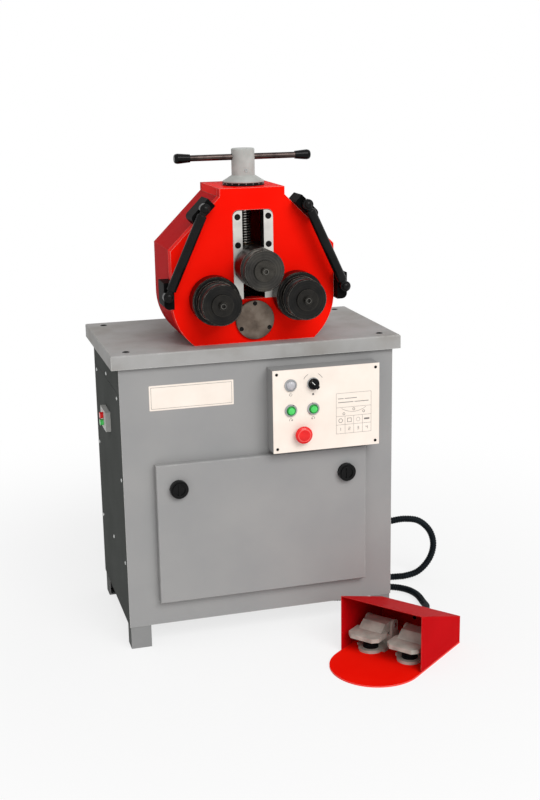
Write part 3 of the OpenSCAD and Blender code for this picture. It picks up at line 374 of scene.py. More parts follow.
HOSE_ROUTE = np.array([
    [343.5, 0, 165], [366, 0, 165], [400, 0, 170], [436, 0, 171], [475, 0, 161], [506, 0, 130], [517, 0, 90],
    [506, 1, 50], [476, 3, 19], [436, 6, 9], [396, 12, 8], [358, 24, 8], [320, 43, 8], [282, 63, 8],
    [241, 74, 8], [203, 64, 8], [175, 37, 8], [165, 0, 8], [175, -37, 8], [203, -64, 8], [241, -74, 8],
    [279, -67, 8], [314, -52, 8], [350, -45, 8], [386, -55, 8], [412, -80, 8], [423, -114, 8],
    [422, -150, 8], [416, -182, 13], [409, -210, 20], [398, -237, 28], [382, -263, 34],
    [358.984, -284.315, 35]]) * MM
SPAN_STEPS = 24
HOSE_R, HOSE_SIDES = 8.75 * MM, 20
# Inside each gland the hose is thinner: its radius there, how far that goes, and the taper
END_R, END_RUN, END_TAPER = 7.4 * MM, 26 * MM, 6 * MM
FLOOR_GAP = 0.1 * MM
# A power under one makes the ribs of the cosine broader and blunter
RIB_DEPTH, RIB_COUNT, RIB_STEPS, RIB_POWER = 1.1 * MM, 190, 6, 0.6


def smooth_route(points, steps):
    """A curve through the points: on each span, the cubic whose slope at a point is half the step between its
    neighbours."""
    ends = np.vstack([points[:1], points, points[-1:]])
    t = np.linspace(0, 1, steps, endpoint=False)[None, :, None]
    a, b, c, d = (p[:, None, :] for p in (ends[:-3], ends[1:-2], ends[2:-1], ends[3:]))
    curve = 0.5 * (2 * b + t * (c - a) + t ** 2 * (2 * a - 5 * b + 4 * c - d)
                   + t ** 3 * (3 * b - a - 3 * c + d))
    return np.vstack([curve.reshape(-1, 3), points[-1:]])


def even_route(curve, count):
    """The same curve with its points at even distances along it, and its length."""
    runs = np.concatenate([[0], np.cumsum(np.linalg.norm(np.diff(curve, axis=0), axis=1))])
    marks = np.linspace(0, runs[-1], count)
    return np.stack([np.interp(marks, runs, curve[:, k]) for k in range(3)], -1), runs[-1]


def conduit():
    """A ribbed tube: rings square to the route, laid out from a slanting direction that it never takes. Their
    radius rises and falls once a rib as a rounded cosine, and draws in to the glands' bore at both ends. On
    the floor the route lies no lower than the tube's own radius."""
    curve = smooth_route(HOSE_ROUTE, SPAN_STEPS)
    curve[:, 2] = np.maximum(curve[:, 2], HOSE_R + FLOOR_GAP)
    path, length = even_route(curve, RIB_COUNT * RIB_STEPS + 1)
    along = np.gradient(path, axis=0)
    along /= np.linalg.norm(along, axis=1)[:, None]
    side = np.cross(along, X + Y + Z)
    side /= np.linalg.norm(side, axis=1)[:, None]
    other = np.cross(along, side)
    step = np.arange(len(path))
    swell = np.cos(2 * math.pi * step / RIB_STEPS)
    to_end = np.minimum(step, step[::-1]) * length / (len(path) - 1)
    outer = np.interp(to_end, [END_RUN, END_RUN + END_TAPER], [END_R, HOSE_R])
    radius = outer - RIB_DEPTH * (0.5 - 0.5 * np.sign(swell) * np.abs(swell) ** RIB_POWER)
    turn = np.linspace(0, 2 * math.pi, HOSE_SIDES, endpoint=False)[None, :, None]
    ring = np.cos(turn) * side[:, None] + np.sin(turn) * other[:, None]
    hose = piece("conduit", [shell(path[:, None] + radius[:, None, None] * ring)], CONDUIT,
                 crease=60)
    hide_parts("hose")


conduit()

# Finishes: name, tones, roughness, then the patches, the grain and the grain's depth in millimetres

# Stove enamel on folded sheet: satin grey with a faint orange peel, paler at the edges, worn and with a painted
# highlight
dress("cabinet_floor front_sheet back_panel front_hatch control_box",
      "grey_stove_enamel", ("#989898", "#A09F9E"), (0.40, 0.54), 160, 1.6, 0.04, specular=0.006,
      wear=("#CBCBC7", 1.8, 1.05))
# The legs' enamel: a little darker in front, with painted shade at the sides in the side panels' deep grey
dress("legs", "two_tone_leg_enamel", ("#8A8A8A", "#919190"), (0.40, 0.54), 160, 1.6, 0.04, specular=0.006,
      sides="#595B59")
# A darker grey without gloss on the side panels and the strip above them: painted shade
dress("left_panel right_panel side_headers",
      "dulled_dark_enamel", ("#555755", "#5C5E5C"), (0.46, 0.62), 120, 2.0, 0.03, specular=0.0)
# Grey enamel rubbed smoother by work and grimy in patches, with a painted highlight along its pale edges
dress("table_top", "rubbed_grey_enamel", ("#9A9793", "#A5A4A2", "#ACABAA"), (0.30, 0.46), 90, 2.2, 0.03,
      specular=0.006, wear=("#DADAD6", 2.2, 1.055))
# Gloss enamel on plate: bright red over slow waves, knocked to the primer along its edges
dress("head_front head_top pedal_floor",
      "red_gloss_enamel", ("#F81206", "#FF1A0C"), (0.36, 0.50), 140, 5.0, 0.05, specular=0.006,
      wear=("#E8A79C", 1.8, 1.05))
# The same enamel, deeper and duller: painted shade on the head's flanks and rear and on the guard
dress("head_side_left head_side_right head_rear pedal_guard",
      "deep_red_enamel", ("#BA090F", "#C60C13"), (0.40, 0.54), 140, 5.0, 0.05, specular=0.006,
      wear=("#B8645C", 1.8, 1.05))
# Satin enamel: an even black with hardly a highlight
dress("guide_brackets", "black_satin_enamel", ("#0B0B0B", "#161616"), (0.34, 0.48), 40, 1.5, 0.08,
      specular=0.006)
# Gloss enamel on the guide rods: one long highlight along each
BLACK_GLOSS = finish("black_gloss_enamel", ("#0A0A0A", "#151515"), (0.22, 0.34), 30, 1.5, 0.02, specular=0.13,
                     stretch=(1, 1, 0.1))
# Sand-cast iron under thin silver-grey paint: matt and faintly pitted
dress("handle_hub", "painted_cast_iron", ("#A6A8A4", "#B9BBB7"), (0.40, 0.56), 24, 1.6, 0.08, specular=0.2,
      speckle=5.0)
# Machine-tool enamel: a soft blue-grey sheen
dress("reducer motor", "blue_grey_enamel", ("#4C5A63", "#586670"), (0.30, 0.45), 60, 2.0, 0.06, specular=0.2)
# Ground steel: bright and finely lined in front; at the sides dark with grease, and with painted shade of the
# slot
dress("guide_rails", "ground_steel", ("#C4C2BD", "#DAD8D2"), (0.30, 0.46), 30, 0.6, 0.02, metallic=0.8,
      stretch=(1, 1, 0.04), sides="#1C1B1A")
# Drawn bar, browned by hands and polished: sharp streaks of light along it
dress("handle_bar", "browned_drawn_steel", ("#2C2422", "#4E433F"), (0.14, 0.26), 18, 0.8, 0.01, metallic=0.85,
      stretch=(0.05, 1, 1))
# Oil-blackened steel, rubbed: a brownish gleam, darker along its edges
dress("upper_shaft", "oil_blackened_steel", ("#302E2A", "#43403B"), (0.22, 0.38), 14, 0.7, 0.02, metallic=0.75,
      wear=("#14130F", 1.4, 1.05))
# The same steel still black from the oil: nearly as dark as the rolls, with paler edges
dress("lower_left_shaft lower_right_shaft",
      "fresh_blackened_steel", ("#1A1917", "#262421"), (0.22, 0.38), 14, 0.7, 0.02, metallic=0.75,
      wear=("#4A4640", 1.4, 1.05))
# Plain turned steel: mid grey with a soft glint
TURNED_STEEL = dress("drive_shaft", "turned_steel", ("#6E6C68", "#8C8A85"), (0.25, 0.42), 20, 0.7, 0.02,
                     metallic=0.9)
# The lead screw's flanks are black with grease, and a painted highlight lies along its crests
SCREW_STEEL = finish("greased_screw_steel_painted_crests", ("#1C1B1A", "#2C2A28"), (0.14, 0.28), 9, 0.6, 0.01, metallic=0.8,
                     crest_highlight=("crest_highlight", "#CBC8C1"))
# Cut gear steel under a film of oil: a wet gleam on the teeth
dress("lower_left_gear lower_right_gear drive_gear",
      "oiled_gear_steel", ("#55534F", "#6E6C67"), (0.22, 0.40), 20, 0.8, 0.03, metallic=0.85)
# Milled steel, greasy: a dull dark block behind the bright rails
dress("slide_block", "milled_steel", ("#1B1A19", "#2B2A28"), (0.30, 0.50), 25, 0.8, 0.04, metallic=0.7)
# Bearing bronze: a warm brown-yellow against the steel
dress("bushes lead_nut carriage_bush",
      "bearing_bronze", ("#8E6B33", "#A8823F"), (0.25, 0.42), 15, 0.6, 0.02, metallic=0.9)
# Black oxide on screws: near black, with a thin glint round each head
BLACK_OXIDE = finish("black_oxide_screw", ("#0A0A0A", "#191817"), (0.20, 0.34), 6, 0.4, 0.02, metallic=0.3,
                     specular=0.15)
# Zinc plating on small screws and pins: pale and bright, a little clouded
ZINC = finish("zinc_plated_screw", ("#9FA1A1", "#C4C5C3"), (0.20, 0.34), 5, 0.4, 0.02, metallic=0.9)
# Chrome plate: the clearest reflections on the machine
dress("bezels", "chrome_plate", ("#9A9B9C", "#B6B7B8"), (0.07, 0.15), 12, 0.5, 0.005, metallic=1.0)
# Moulded black plastic: a low sheen over a fine spark-eroded grain
BLACK_PLASTIC = dress("latch_left latch_right selector_knob dial_ring glands", "black_moulded_plastic",
                      ("#0B0B0B", "#151515"), (0.28, 0.42), 20, 0.5, 0.03, specular=0.12)
# Polished phenolic: deep black with small clear highlights
dress("handle_grips", "polished_black_phenolic", ("#060606", "#0D0D0D"), (0.10, 0.20), 20, 2.0, 0.01,
      specular=0.12)
# The main switch's moulding: pale, even and matt
dress("main_switch_box", "pale_grey_plastic", ("#B4B4B0", "#C4C4C0"), (0.36, 0.52), 25, 0.5, 0.03,
      specular=0.15)
# The green buttons' rims: a darker ring that outlines each cap
DARK_GREEN_PLASTIC = finish("dark_green_rim_plastic", ("#14692B", "#1E8238"), (0.16, 0.28), 14, 0.6, 0.01,
                            specular=0.2)
# The stop button's rim: a paler ring on the red, a painted highlight
STOP_RIM_HIGHLIGHT_PLASTIC = finish("red_plastic_painted_highlight", ("#F25A56", "#FF6E69"), (0.20, 0.32), 14, 0.6, 0.01, specular=0.2)
# Green caps: clear and bright with a smooth gloss
dress("start_left start_right main_start",
      "green_lens_plastic", ("#3CC456", "#5ADF70"), (0.14, 0.26), 14, 0.6, 0.01, specular=0.4)
# Red buttons: a strong even red with a smooth gloss
dress("stop_button main_stop",
      "red_button_plastic", ("#DE1216", "#F0201E"), (0.16, 0.28), 16, 0.6, 0.01, specular=0.35)
# The unlit lamp's lens: milky grey, smooth enough to glint
dress("lamp_lens", "milky_lens_plastic", ("#A9A8AC", "#C9C8CC"), (0.10, 0.22), 9, 0.5, 0.01)
# Printed laminate: cream and nearly smooth
CREAM_LAMINATE = dress("control_plate", "cream_laminate", ("#F5E9DD", "#FBF0E5"), (0.34, 0.46), 50, 0.9, 0.01,
                       specular=0.12)
# Screen print: soft grey lines without gloss
PRINT_INK = finish("grey_print", ("#74706C", "#84807C"), (0.45, 0.60), 8, 0.4, 0.005, specular=0.2)
# White print on the dial, and a white painted highlight on the selector's grip: matt lines that stand out from
# the black
WHITE_INK_AND_HIGHLIGHT = finish("white_print_and_highlight", ("#D2D2CE", "#E4E4E0"), (0.40, 0.55), 8, 0.4, 0.005, specular=0.2)
# Sand-cast pedals with a thin beige paint: grit shows through
dress("pedal_stands tread_left tread_right",
      "painted_cast_alloy", ("#9FA097", "#BEBFB5"), (0.40, 0.62), 22, 1.4, 0.16, specular=0.2, speckle=4.0)
# Rubber of the bellows: dull black with no clear highlight
RUBBER = finish("black_rubber", ("#111113", "#1C1C1F"), (0.42, 0.62), 20, 0.6, 0.05, specular=0.2)
# Faced steel disc: cloudy dark browns under fine rings
dress("bearing_cover", "stained_faced_steel", ("#463C34", "#6A5D52", "#867A6E"), (0.28, 0.48), 34, 0.8, 0.03,
      metallic=0.7, rings=("Y", tuple(middle("bearing_cover")), 1.6))
# Hardened roll steel, black with oil, with a painted highlight along its edges and painted shade on the faces
# that look to the side: the upper roll is greyer than the lower ones, and the lathe's rings are coarser than a
# lathe leaves them, so that they show
UPPER_ROLL_TONES = ("#2C2A28", "#3C3A37", "#47443E")
LOWER_ROLL_TONES = ("#141413", "#1C1B1A", "#25231F")
for steel, roll, tones in (("upper", "upper", UPPER_ROLL_TONES), ("left", "lower_left", LOWER_ROLL_TONES),
                           ("right", "lower_right", LOWER_ROLL_TONES)):
    dress(roll + "_roll", steel + "_roll_steel", tones, (0.24, 0.42), 26, 0.9, 0.03, metallic=0.75,
          rings=("Y", spin_axis(roll + "_spin"), 6.0), wear=("#9A948A", 1.6, 1.05), sides="#12110F")

soften(1.0 * MM, "control_box", "pedal_guard", "main_switch_box")

# Screws: radius and height of the head, and for those with a socket the key's radius

RAIL_BOLT, COVER_SCREW, HUB_SCREW, FOOT_BOLT, DRUM_SCREW, CAP_SCREW = np.array([
    (7, 1.6, 3.4), (5, 1.4, 2.4), (4, 1.2, 2), (6, 5, 2.8), (3.6, 2.2, 1.7), (2.8, 2.2, 1.3)]) * MM
EYE_BOLT, PLATE_SCREW, PANEL_SCREW, PIN_HEAD = np.array([(8.5, 6), (3.4, 2), (4.5, 2), (6, 2.4)]) * MM

# Head: the threaded screw, the rails' bolts, the cover's screws, the dial's marks and the guide rods

THREAD_PITCH, THREAD_DEEP = 6 * MM, 1.8 * MM
THREAD_STEPS, THREAD_SIDES = 10, 48
# A trapezium's top, before it is cut off at one, and its fall: the thread's, then that of the strip with the
# painted highlight
RIDGE_TOP, RIDGE_FALL = 2.2, 5.5
CREST_TOP, CREST_FALL = 1.7, 8
SCREW_R = 15 * MM
COLLAR_R, COLLAR_TALL, COLLAR_GAP = 21 * MM, 14 * MM, 0.3 * MM


def lead_screw():
    """A screw: the radius at a turn t and a height z follows a trapezium of the phase z over pitch less t over
    a full turn, so the ridge climbs one pitch a turn; above the thread it is plain, with a thrust collar. The
    attribute crest_highlight, a painted highlight, is a narrower trapezium of the same phase."""
    low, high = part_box("lead_screw")
    x, y, _ = middle("lead_screw")
    collar_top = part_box("head_top")[0][2] - COLLAR_GAP
    collar_low = collar_top - COLLAR_TALL
    heights = np.arange(low[2], collar_low, THREAD_PITCH / THREAD_STEPS)
    turn = np.linspace(0, 2 * math.pi, THREAD_SIDES, endpoint=False)
    phase = np.mod(heights[:, None] / THREAD_PITCH - turn[None] / (2 * math.pi), 1)
    off_ridge = np.abs(phase - 0.5)
    radius = SCREW_R - THREAD_DEEP * (1 - np.clip(RIDGE_TOP - RIDGE_FALL * off_ridge, 0, 1))
    plain = np.array([(collar_low, SCREW_R), (collar_low, COLLAR_R), (collar_top, COLLAR_R),
                      (collar_top, SCREW_R), (high[2], SCREW_R)])
    heights = np.concatenate([heights, plain[:, 0]])
    radius = np.vstack([radius, np.repeat(plain[:, 1:], THREAD_SIDES, axis=1)])
    points = np.stack([x + radius * np.cos(turn), y + radius * np.sin(turn),
                       np.broadcast_to(heights[:, None], radius.shape)], -1)
    screw = piece("threaded_screw", [shell(points)], SCREW_STEEL, "handle", 30)
    # A painted highlight along the thread's crests
    highlight_share = np.zeros(len(screw.data.vertices))
    highlight_share[:phase.size] = np.clip(CREST_TOP - CREST_FALL * off_ridge, 0, 1).reshape(-1)
    screw.data.attributes.new("crest_highlight", "FLOAT", "POINT").data.foreach_set("value", highlight_share)
    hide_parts("lead_screw")


lead_screw()

rail_low, rail_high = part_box("guide_rails")
RAIL_X = 35.75 * MM
RAIL_BOLT_DROPS = np.array([14, 77, 140]) * MM
piece("rail_bolts", [socket_screw((s * RAIL_X, rail_low[1], rail_high[2] - drop), -Y, *RAIL_BOLT)
                     for s in (-1, 1) for drop in RAIL_BOLT_DROPS], BLACK_OXIDE)

COVER_RING = 38 * MM
piece("cover_screws", screw_ring(front("bearing_cover"), -Y, Z, COVER_RING, (90, 210, 330), COVER_SCREW),
      BLACK_OXIDE)

DIAL_MARKS, FIRST_MARK = 18, -97
# A mark's width; thickness, corner and edge; depth in the ring, drop from its top and share of its height
MARK_WIDE, MARK_FORM = 0.8 * MM, np.array([0.3, 0.2, 0.05]) * MM
MARK_SINK, MARK_DROP, MARK_SHARE = 0.15 * MM, 0.8 * MM, 0.4


def dial_marks():
    """White lines round the dial, one every twenty degrees, each a small plate that faces out from the axis."""
    low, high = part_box("dial_ring")
    tall = MARK_SHARE * (high[2] - low[2])
    mid = middle("dial_ring") * (X + Y) + (high[2] - MARK_DROP - tall / 2) * Z
    radius = (high[0] - low[0]) / 2 - MARK_SINK
    marks = []
    for a in np.radians(FIRST_MARK + 360 / DIAL_MARKS * np.arange(DIAL_MARKS)):
        out = math.cos(a) * X + math.sin(a) * Y
        marks.append(plate(mid + radius * out, np.cross(Z, out), Z, MARK_WIDE, tall, *MARK_FORM))
    return piece("dial_marks", marks, WHITE_INK_AND_HIGHLIGHT, "handle")


dial_marks()

bars_low, bars_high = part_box("guide_bars")
# The eyes of the right rod, its top and its foot, by their place across and their height
EYES = np.array([(117.4, 1015.8), (205, 827)]) * MM
EYE_R, EYE_CHAMFER = 12 * MM, 1 * MM
# A rod's half width at its neck and beyond, its half depth, its shoulder's start and length, its shift forward
ROD_NECK, ROD_WIDE, ROD_DEEP = 7.4 * MM, 11 * MM, 9.4 * MM
SHOULDER_AT, SHOULDER = 14 * MM, 3 * MM
ROD_FORWARD = 2 * MM


def guide_rods():
    """Two stout rods between the brackets, and the eye at each end. Along a rod the half width w(s) is a
    neck's, then swells over a rounded shoulder, a quarter ellipse of the distance s, to the full width, and
    the same from the other end; the section is an oval whose half depth swells with it."""
    back, deep = bars_high[1], bars_high[1] - bars_low[1]
    eye = ((EYE_R - EYE_CHAMFER, 0), (EYE_R, EYE_CHAMFER), (EYE_R, deep - EYE_CHAMFER),
           (EYE_R - EYE_CHAMFER, deep))
    turn = np.linspace(0, 2 * math.pi, 36, endpoint=False)
    swell = np.linspace(0, 1, 8)
    near = np.concatenate([[0, SHOULDER_AT], SHOULDER_AT + SHOULDER * swell])
    half = np.concatenate([[ROD_NECK, ROD_NECK],
                           ROD_NECK + (ROD_WIDE - ROD_NECK) * np.sqrt(1 - (1 - swell) ** 2)])
    half = np.concatenate([half, half[::-1]])
    half_deep = np.interp(half, [ROD_NECK, ROD_WIDE], [ROD_NECK, ROD_DEEP])
    shells = []
    for s in (-1, 1):
        top, foot = (np.array([s * x, (bars_low[1] + bars_high[1]) / 2, z]) for x, z in EYES)
        run = np.linalg.norm(top - foot)
        upward = (top - foot) / run
        along = np.concatenate([near, run - near[::-1]])
        shells.append(shell(foot - ROD_FORWARD * Y + along[:, None, None] * upward
                            + (half[:, None] * np.cos(turn))[..., None] * np.cross(upward, Y)
                            + (half_deep[:, None] * np.sin(turn))[..., None] * Y))
        shells += [lathe(eye, (end[0], back, end[2]), -Y, 40) for end in (top, foot)]
    rods = piece("guide_rods", shells, BLACK_GLOSS)
    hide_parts("guide_bars")


guide_rods()
piece("eye_bolts", [dome_screw((s * x, bars_low[1], z), -Y, *EYE_BOLT) for s in (-1, 1) for x, z in EYES],
      BLACK_OXIDE)

SCREW_Y = -79 * MM
HUB_R, HUB_SCREW_UP, HUB_SCREW_SINK = 26.5 * MM, 26 * MM, 0.4 * MM
hub_screw_at = (0, SCREW_Y - HUB_R + HUB_SCREW_SINK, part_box("handle_hub")[0][2] + HUB_SCREW_UP)
piece("hub_screw", [socket_screw(hub_screw_at, -Y, *HUB_SCREW)], ZINC, "handle")

# Table: a black liner in each corner hole, painted shade that darkens the hole

HOLE_IN = np.array([40, 36]) * MM
SHADE_LINER = ((6.4, -4.0), (6.4, 0.4), (6.9, 0.7), (8.2, 0.5), (8.6, 0.0), (6.95, 0.0), (6.95, -4.0))


def collar(profile, centre, axis, sides):
    """A ring: each (radius, rise) of the closed profile, in millimetres, is carried round the axis."""
    spoke, _ = spokes(axis, sides)
    r, h = np.array(profile).T[:, :, None, None] * MM
    return shell(np.asarray(centre) + r * spoke[None] + h * axis, open_ends=False)


# A rim on the table, and a sleeve wide enough for the hole's bolt
table_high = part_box("table_top")[1]
hole_x, hole_y = table_high[0] - HOLE_IN[0], table_high[1] - HOLE_IN[1]
piece("table_hole_shade_liners", [collar(SHADE_LINER, (s * hole_x, t * hole_y, table_high[2]), Z, 40)
                            for s in (-1, 1) for t in (-1, 1)], BLACK_PLASTIC)

# Front: the control plate's screws and print, the buttons' rims, one of them a painted highlight, the
# selector's painted highlight, the bare plate and the side screws

plate_low, plate_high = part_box("control_plate")
FACE = plate_low[1]
SCREW_IN = 9.5 * MM
piece("plate_screws", [dome_screw((x, FACE, z), -Y, *PLATE_SCREW)
                       for x in (plate_low[0] + SCREW_IN, plate_high[0] - SCREW_IN)
                       for z in (plate_low[2] + SCREW_IN, plate_high[2] - SCREW_IN)],
      BLACK_OXIDE)

PRINT = 0.15 * MM


def stroke(x0, z0, x1, z1, wide, face=FACE):
    """A stroke on a face that looks to the front, from one point to another, for print and for a painted
    highlight: a thin plate.
    """
    run = np.array([x1 - x0, 0, z1 - z0])
    length = np.linalg.norm(run)
    right = run / length
    return plate(((x0 + x1) / 2, face, (z0 + z1) / 2), right, np.cross(right, Y), length + wide, wide, PRINT,
                 0.3 * wide, 0.2 * PRINT)


def box_strokes(x, z, half_x, half_z, wide, face=FACE):
    """The four printed sides of a box about a point."""
    return [stroke(x + a * half_x, z + b * half_z, x + c * half_x, z + d * half_z, wide, face)
            for a, b, c, d in ((-1, -1, 1, -1), (1, -1, 1, 1), (1, 1, -1, 1), (-1, 1, -1, -1))]


def bend(x, z, r, wide, start=0, stop=360):
    """A printed arc on the control plate: a small rectangle carried round a circle from one turn to another, in
    degrees, and closed on itself where that is a full turn."""
    full = stop - start >= 360
    turn = np.radians(np.linspace(start, stop, 40, endpoint=not full))
    spoke = np.cos(turn)[:, None, None] * X + np.sin(turn)[:, None, None] * Z
    radius = np.array([r - wide / 2, r + wide / 2, r + wide / 2, r - wide / 2])[None, :, None]
    rise = np.array([0, 0, -PRINT, -PRINT])[None, :, None]
    return shell(np.array([x, FACE, z]) + radius * spoke + rise * Y, open_ends=not full)


# The chart's place from the plate's upper left corner, its size, and its rules as shares of its height
CHART_IN, CHART_DROP = 151 * MM, 65 * MM
CHART_WIDE, CHART_TALL = 85 * MM, 96 * MM
CHART_RULES = np.array([0, 0.35, 0.57, 0.78, 1])
# Widths of the rules, the title, the bold figures, the bent bar, the thin ring, the flat and the digits
LINE, TITLE_LINE, BOLD, BAR, FINE, FLAT, DIGIT_LINE = np.array([0.6, 1.5, 1.1, 0.7, 0.6, 4, 0.9]) * MM
# The title's two broken lines as shares of the chart's width, and their lifts
TITLE = (((0.06, 0.20), (0.25, 0.58)), ((0.06, 0.48), (0.53, 0.92)))
TITLE_LIFTS = np.array([4, -5]) * MM
# The three rolls' places about the middle of their row, their radius, and the bar's radius, lift and turns
ROLLS = np.array([(-24, -5), (0, 5), (24, -2)]) * MM
ROLL_R, BAR_R, BAR_LIFT, BAR_TURNS = 2.6 * MM, 53 * MM, 52 * MM, (236, 304)
FIGURE_HALF = 4.6 * MM
# Digits as strokes in a box one wide and one high, and that box's size
DIGITS = (((0.5, 0, 0.5, 1),),
          ((0, 1, 1, 1), (1, 1, 1, 0.5), (1, 0.5, 0, 0.5), (0, 0.5, 0, 0), (0, 0, 1, 0)),
          ((0, 1, 1, 1), (0, 0.5, 1, 0.5), (0, 0, 1, 0), (1, 0, 1, 1)),
          ((0, 1, 0, 0.5), (0, 0.5, 1, 0.5), (1, 0, 1, 1)))
DIGIT_SIZE = np.array([3.6, 6.5]) * MM


def section_chart():
    """A ruled chart of what the rolls take: a frame with rules and posts, two broken rules at its head, three
    rolls round a bent bar, then a tube, a square tube, a bar and a flat, with a digit under each."""
    x0, z1 = plate_low[0] + CHART_IN, plate_high[2] - CHART_DROP
    x1, z0 = x0 + CHART_WIDE, z1 - CHART_TALL
    rules = z1 - CHART_RULES * CHART_TALL
    posts = np.linspace(x0, x1, 5)
    columns = (posts[:-1] + posts[1:]) / 2
    title, rolls, figures, digits = (rules[:-1] + rules[1:]) / 2
    mid_x = (x0 + x1) / 2
    marks = [stroke(x0, z, x1, z, LINE) for z in rules]
    marks += [stroke(x, z0, x, z1 if x in (x0, x1) else rules[2], LINE) for x in posts]
    marks += [stroke(x0 + a * CHART_WIDE, title + lift, x0 + b * CHART_WIDE, title + lift, TITLE_LINE)
              for line, lift in zip(TITLE, TITLE_LIFTS) for a, b in line]
    marks += [bend(mid_x + x, rolls + z, ROLL_R, BOLD) for x, z in ROLLS]
    marks.append(bend(mid_x, rolls + BAR_LIFT, BAR_R, BAR, *BAR_TURNS))
    marks.append(bend(columns[0], figures, FIGURE_HALF, BOLD))
    marks += box_strokes(columns[1], figures, FIGURE_HALF, FIGURE_HALF, BOLD)
    marks.append(bend(columns[2], figures, FIGURE_HALF, FINE))
    marks.append(stroke(columns[3] - FIGURE_HALF, figures, columns[3] + FIGURE_HALF, figures, FLAT))
    marks += [stroke(*((np.array(line) - 0.5) * np.tile(DIGIT_SIZE, 2) + [x, digits, x, digits]), DIGIT_LINE)
              for x, digit in zip(columns, DIGITS) for line in digit]
    return piece("section_chart", marks, PRINT_INK)


section_chart()

SIGN_LINE = 0.9 * MM
# Under a green button: the arc's drop, radius and turns, and the arrow head's two ends
ARROW_DOWN, ARROW_R, ARROW_TURNS = 12.5 * MM, 3.4 * MM, (-40, 220)
ARROW_HEAD = np.array([(-1.6, 2), (1.8, 2)]) * MM
# Under the lamp: the broken ring's drop, radius and turns, and the bar's ends
POWER_DOWN, POWER_R, POWER_TURNS = 11.5 * MM, 3.2 * MM, (125, 415)
POWER_BAR = np.array([1, 4.2]) * MM
# Round the selector: the arcs' radius, width, starts and length in degrees, and the dot's radius and width
ARC_R, ARC_LINE, ARC_STARTS, ARC_LONG = 25 * MM, 1 * MM, (28, 118), 34
DOT_R, DOT_LINE = 1.4 * MM, 2.4 * MM


def control_marks():
    """Plain signs on the control plate: under each green button an arc with an arrow head, under the lamp a
    ring broken by a bar, and round the selector two arcs above and a dot below."""
    marks = []
    for node, way in (("start_left", 1), ("start_right", -1)):
        x, z = middle(node)[0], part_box(node)[0][2] - ARROW_DOWN
        marks.append(bend(x, z, ARROW_R, SIGN_LINE, *ARROW_TURNS))
        end = math.radians(ARROW_TURNS[0])
        tip_x, tip_z = x + way * ARROW_R * math.cos(end), z + ARROW_R * math.sin(end)
        marks += [stroke(tip_x, tip_z, tip_x + dx, tip_z + dz, SIGN_LINE) for dx, dz in ARROW_HEAD]
    x, z = middle("lamp_lens")[0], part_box("lamp_lens")[0][2] - POWER_DOWN
    marks += [bend(x, z, POWER_R, SIGN_LINE, *POWER_TURNS),
              stroke(x, z + POWER_BAR[0], x, z + POWER_BAR[1], SIGN_LINE)]
    x, _, z = middle("selector_knob")
    marks += [bend(x, z, ARC_R, ARC_LINE, start, start + ARC_LONG) for start in ARC_STARTS]
    marks.append(bend(x, z - ARC_R, DOT_R, DOT_LINE))
    return piece("control_marks", marks, PRINT_INK)


control_marks()


def face_ring(node, profile):
    """A ring on the front of a round button, with its profile's rise measured from the foremost point."""
    return collar(profile, front(node), -Y, 48)


CAP_RIM = ((7.6, -0.4), (7.9, 0.25), (9.2, 0.3), (9.8, 0.0), (9.8, -0.4))
for side in ("left", "right"):
    piece(side + "_start_rim", [face_ring("start_" + side, CAP_RIM)], DARK_GREEN_PLASTIC,
          side + "_start")
# A paler ring on the stop button: a painted highlight of its glossy edge
STOP_HIGHLIGHT_RIM = ((13.0, -1.8), (13.4, -0.9), (14.6, -1.1), (15.4, -1.9), (15.2, -2.7))
piece("stop_rim_highlight", [face_ring("stop_button", STOP_HIGHLIGHT_RIM)], STOP_RIM_HIGHLIGHT_PLASTIC, "emergency_stop")

# A painted highlight: a white line along the front of the selector's grip, from near its middle up to the left
SELECTOR_HIGHLIGHT_LINE = 1.6 * MM
near, far = np.array([1.5, 10]) * MM * math.sqrt(0.5)
x, y, z = front("selector_knob")
piece("selector_highlight_line", [stroke(x - near, z + near, x - far, z + far, SELECTOR_HIGHLIGHT_LINE, y)], WHITE_INK_AND_HIGHLIGHT,
      "selector")

# The rims of the sockets in the roll bolts: pale steel rings, a painted highlight for each socket's glint
SOCKET_GLINT_RIM = ((4.9, -1.2), (5.0, 0.1), (5.6, 0.15), (6.0, -0.3), (5.8, -1.2))
for side in ("upper", "lower_left", "lower_right"):
    piece(side + "_socket_highlight_rim", [face_ring(side + "_shaft", SOCKET_GLINT_RIM)], TURNED_STEEL,
          side + "_roller")

# The bare plate: middle; width, height, thickness, corner and edge; its rule's half sides and line
sheet_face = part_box("front_sheet")[0][1]
BARE_X, BARE_Z = -159.5 * MM, 600 * MM
BARE_SIZE = np.array([195, 58, 0.8, 2, 0.3]) * MM
BARE_RULE = np.array([93, 24.5, 0.7]) * MM
piece("bare_plate", [plate((BARE_X, sheet_face, BARE_Z), X, Z, *BARE_SIZE)], CREAM_LAMINATE)
piece("bare_plate_rule", box_strokes(BARE_X, BARE_Z, *BARE_RULE, sheet_face - BARE_SIZE[2]), PRINT_INK)

# Screws along the edges of a side panel and in the strip above it: place along the depth, and height
SIDE_SCREWS = np.array([(-5, 623), (-152, 598), (152, 598), (-165, 409), (165, 409), (-165, 208), (165, 214),
                        (-3, 215)]) * MM
panel_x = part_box("right_panel")[1][0]
piece("side_screws", [dome_screw((s * panel_x, y, z), s * X, *PANEL_SCREW)
                      for s in (-1, 1) for y, z in SIDE_SCREWS], ZINC)

# Back: the panel's screws, and the screws of the reducer on the table

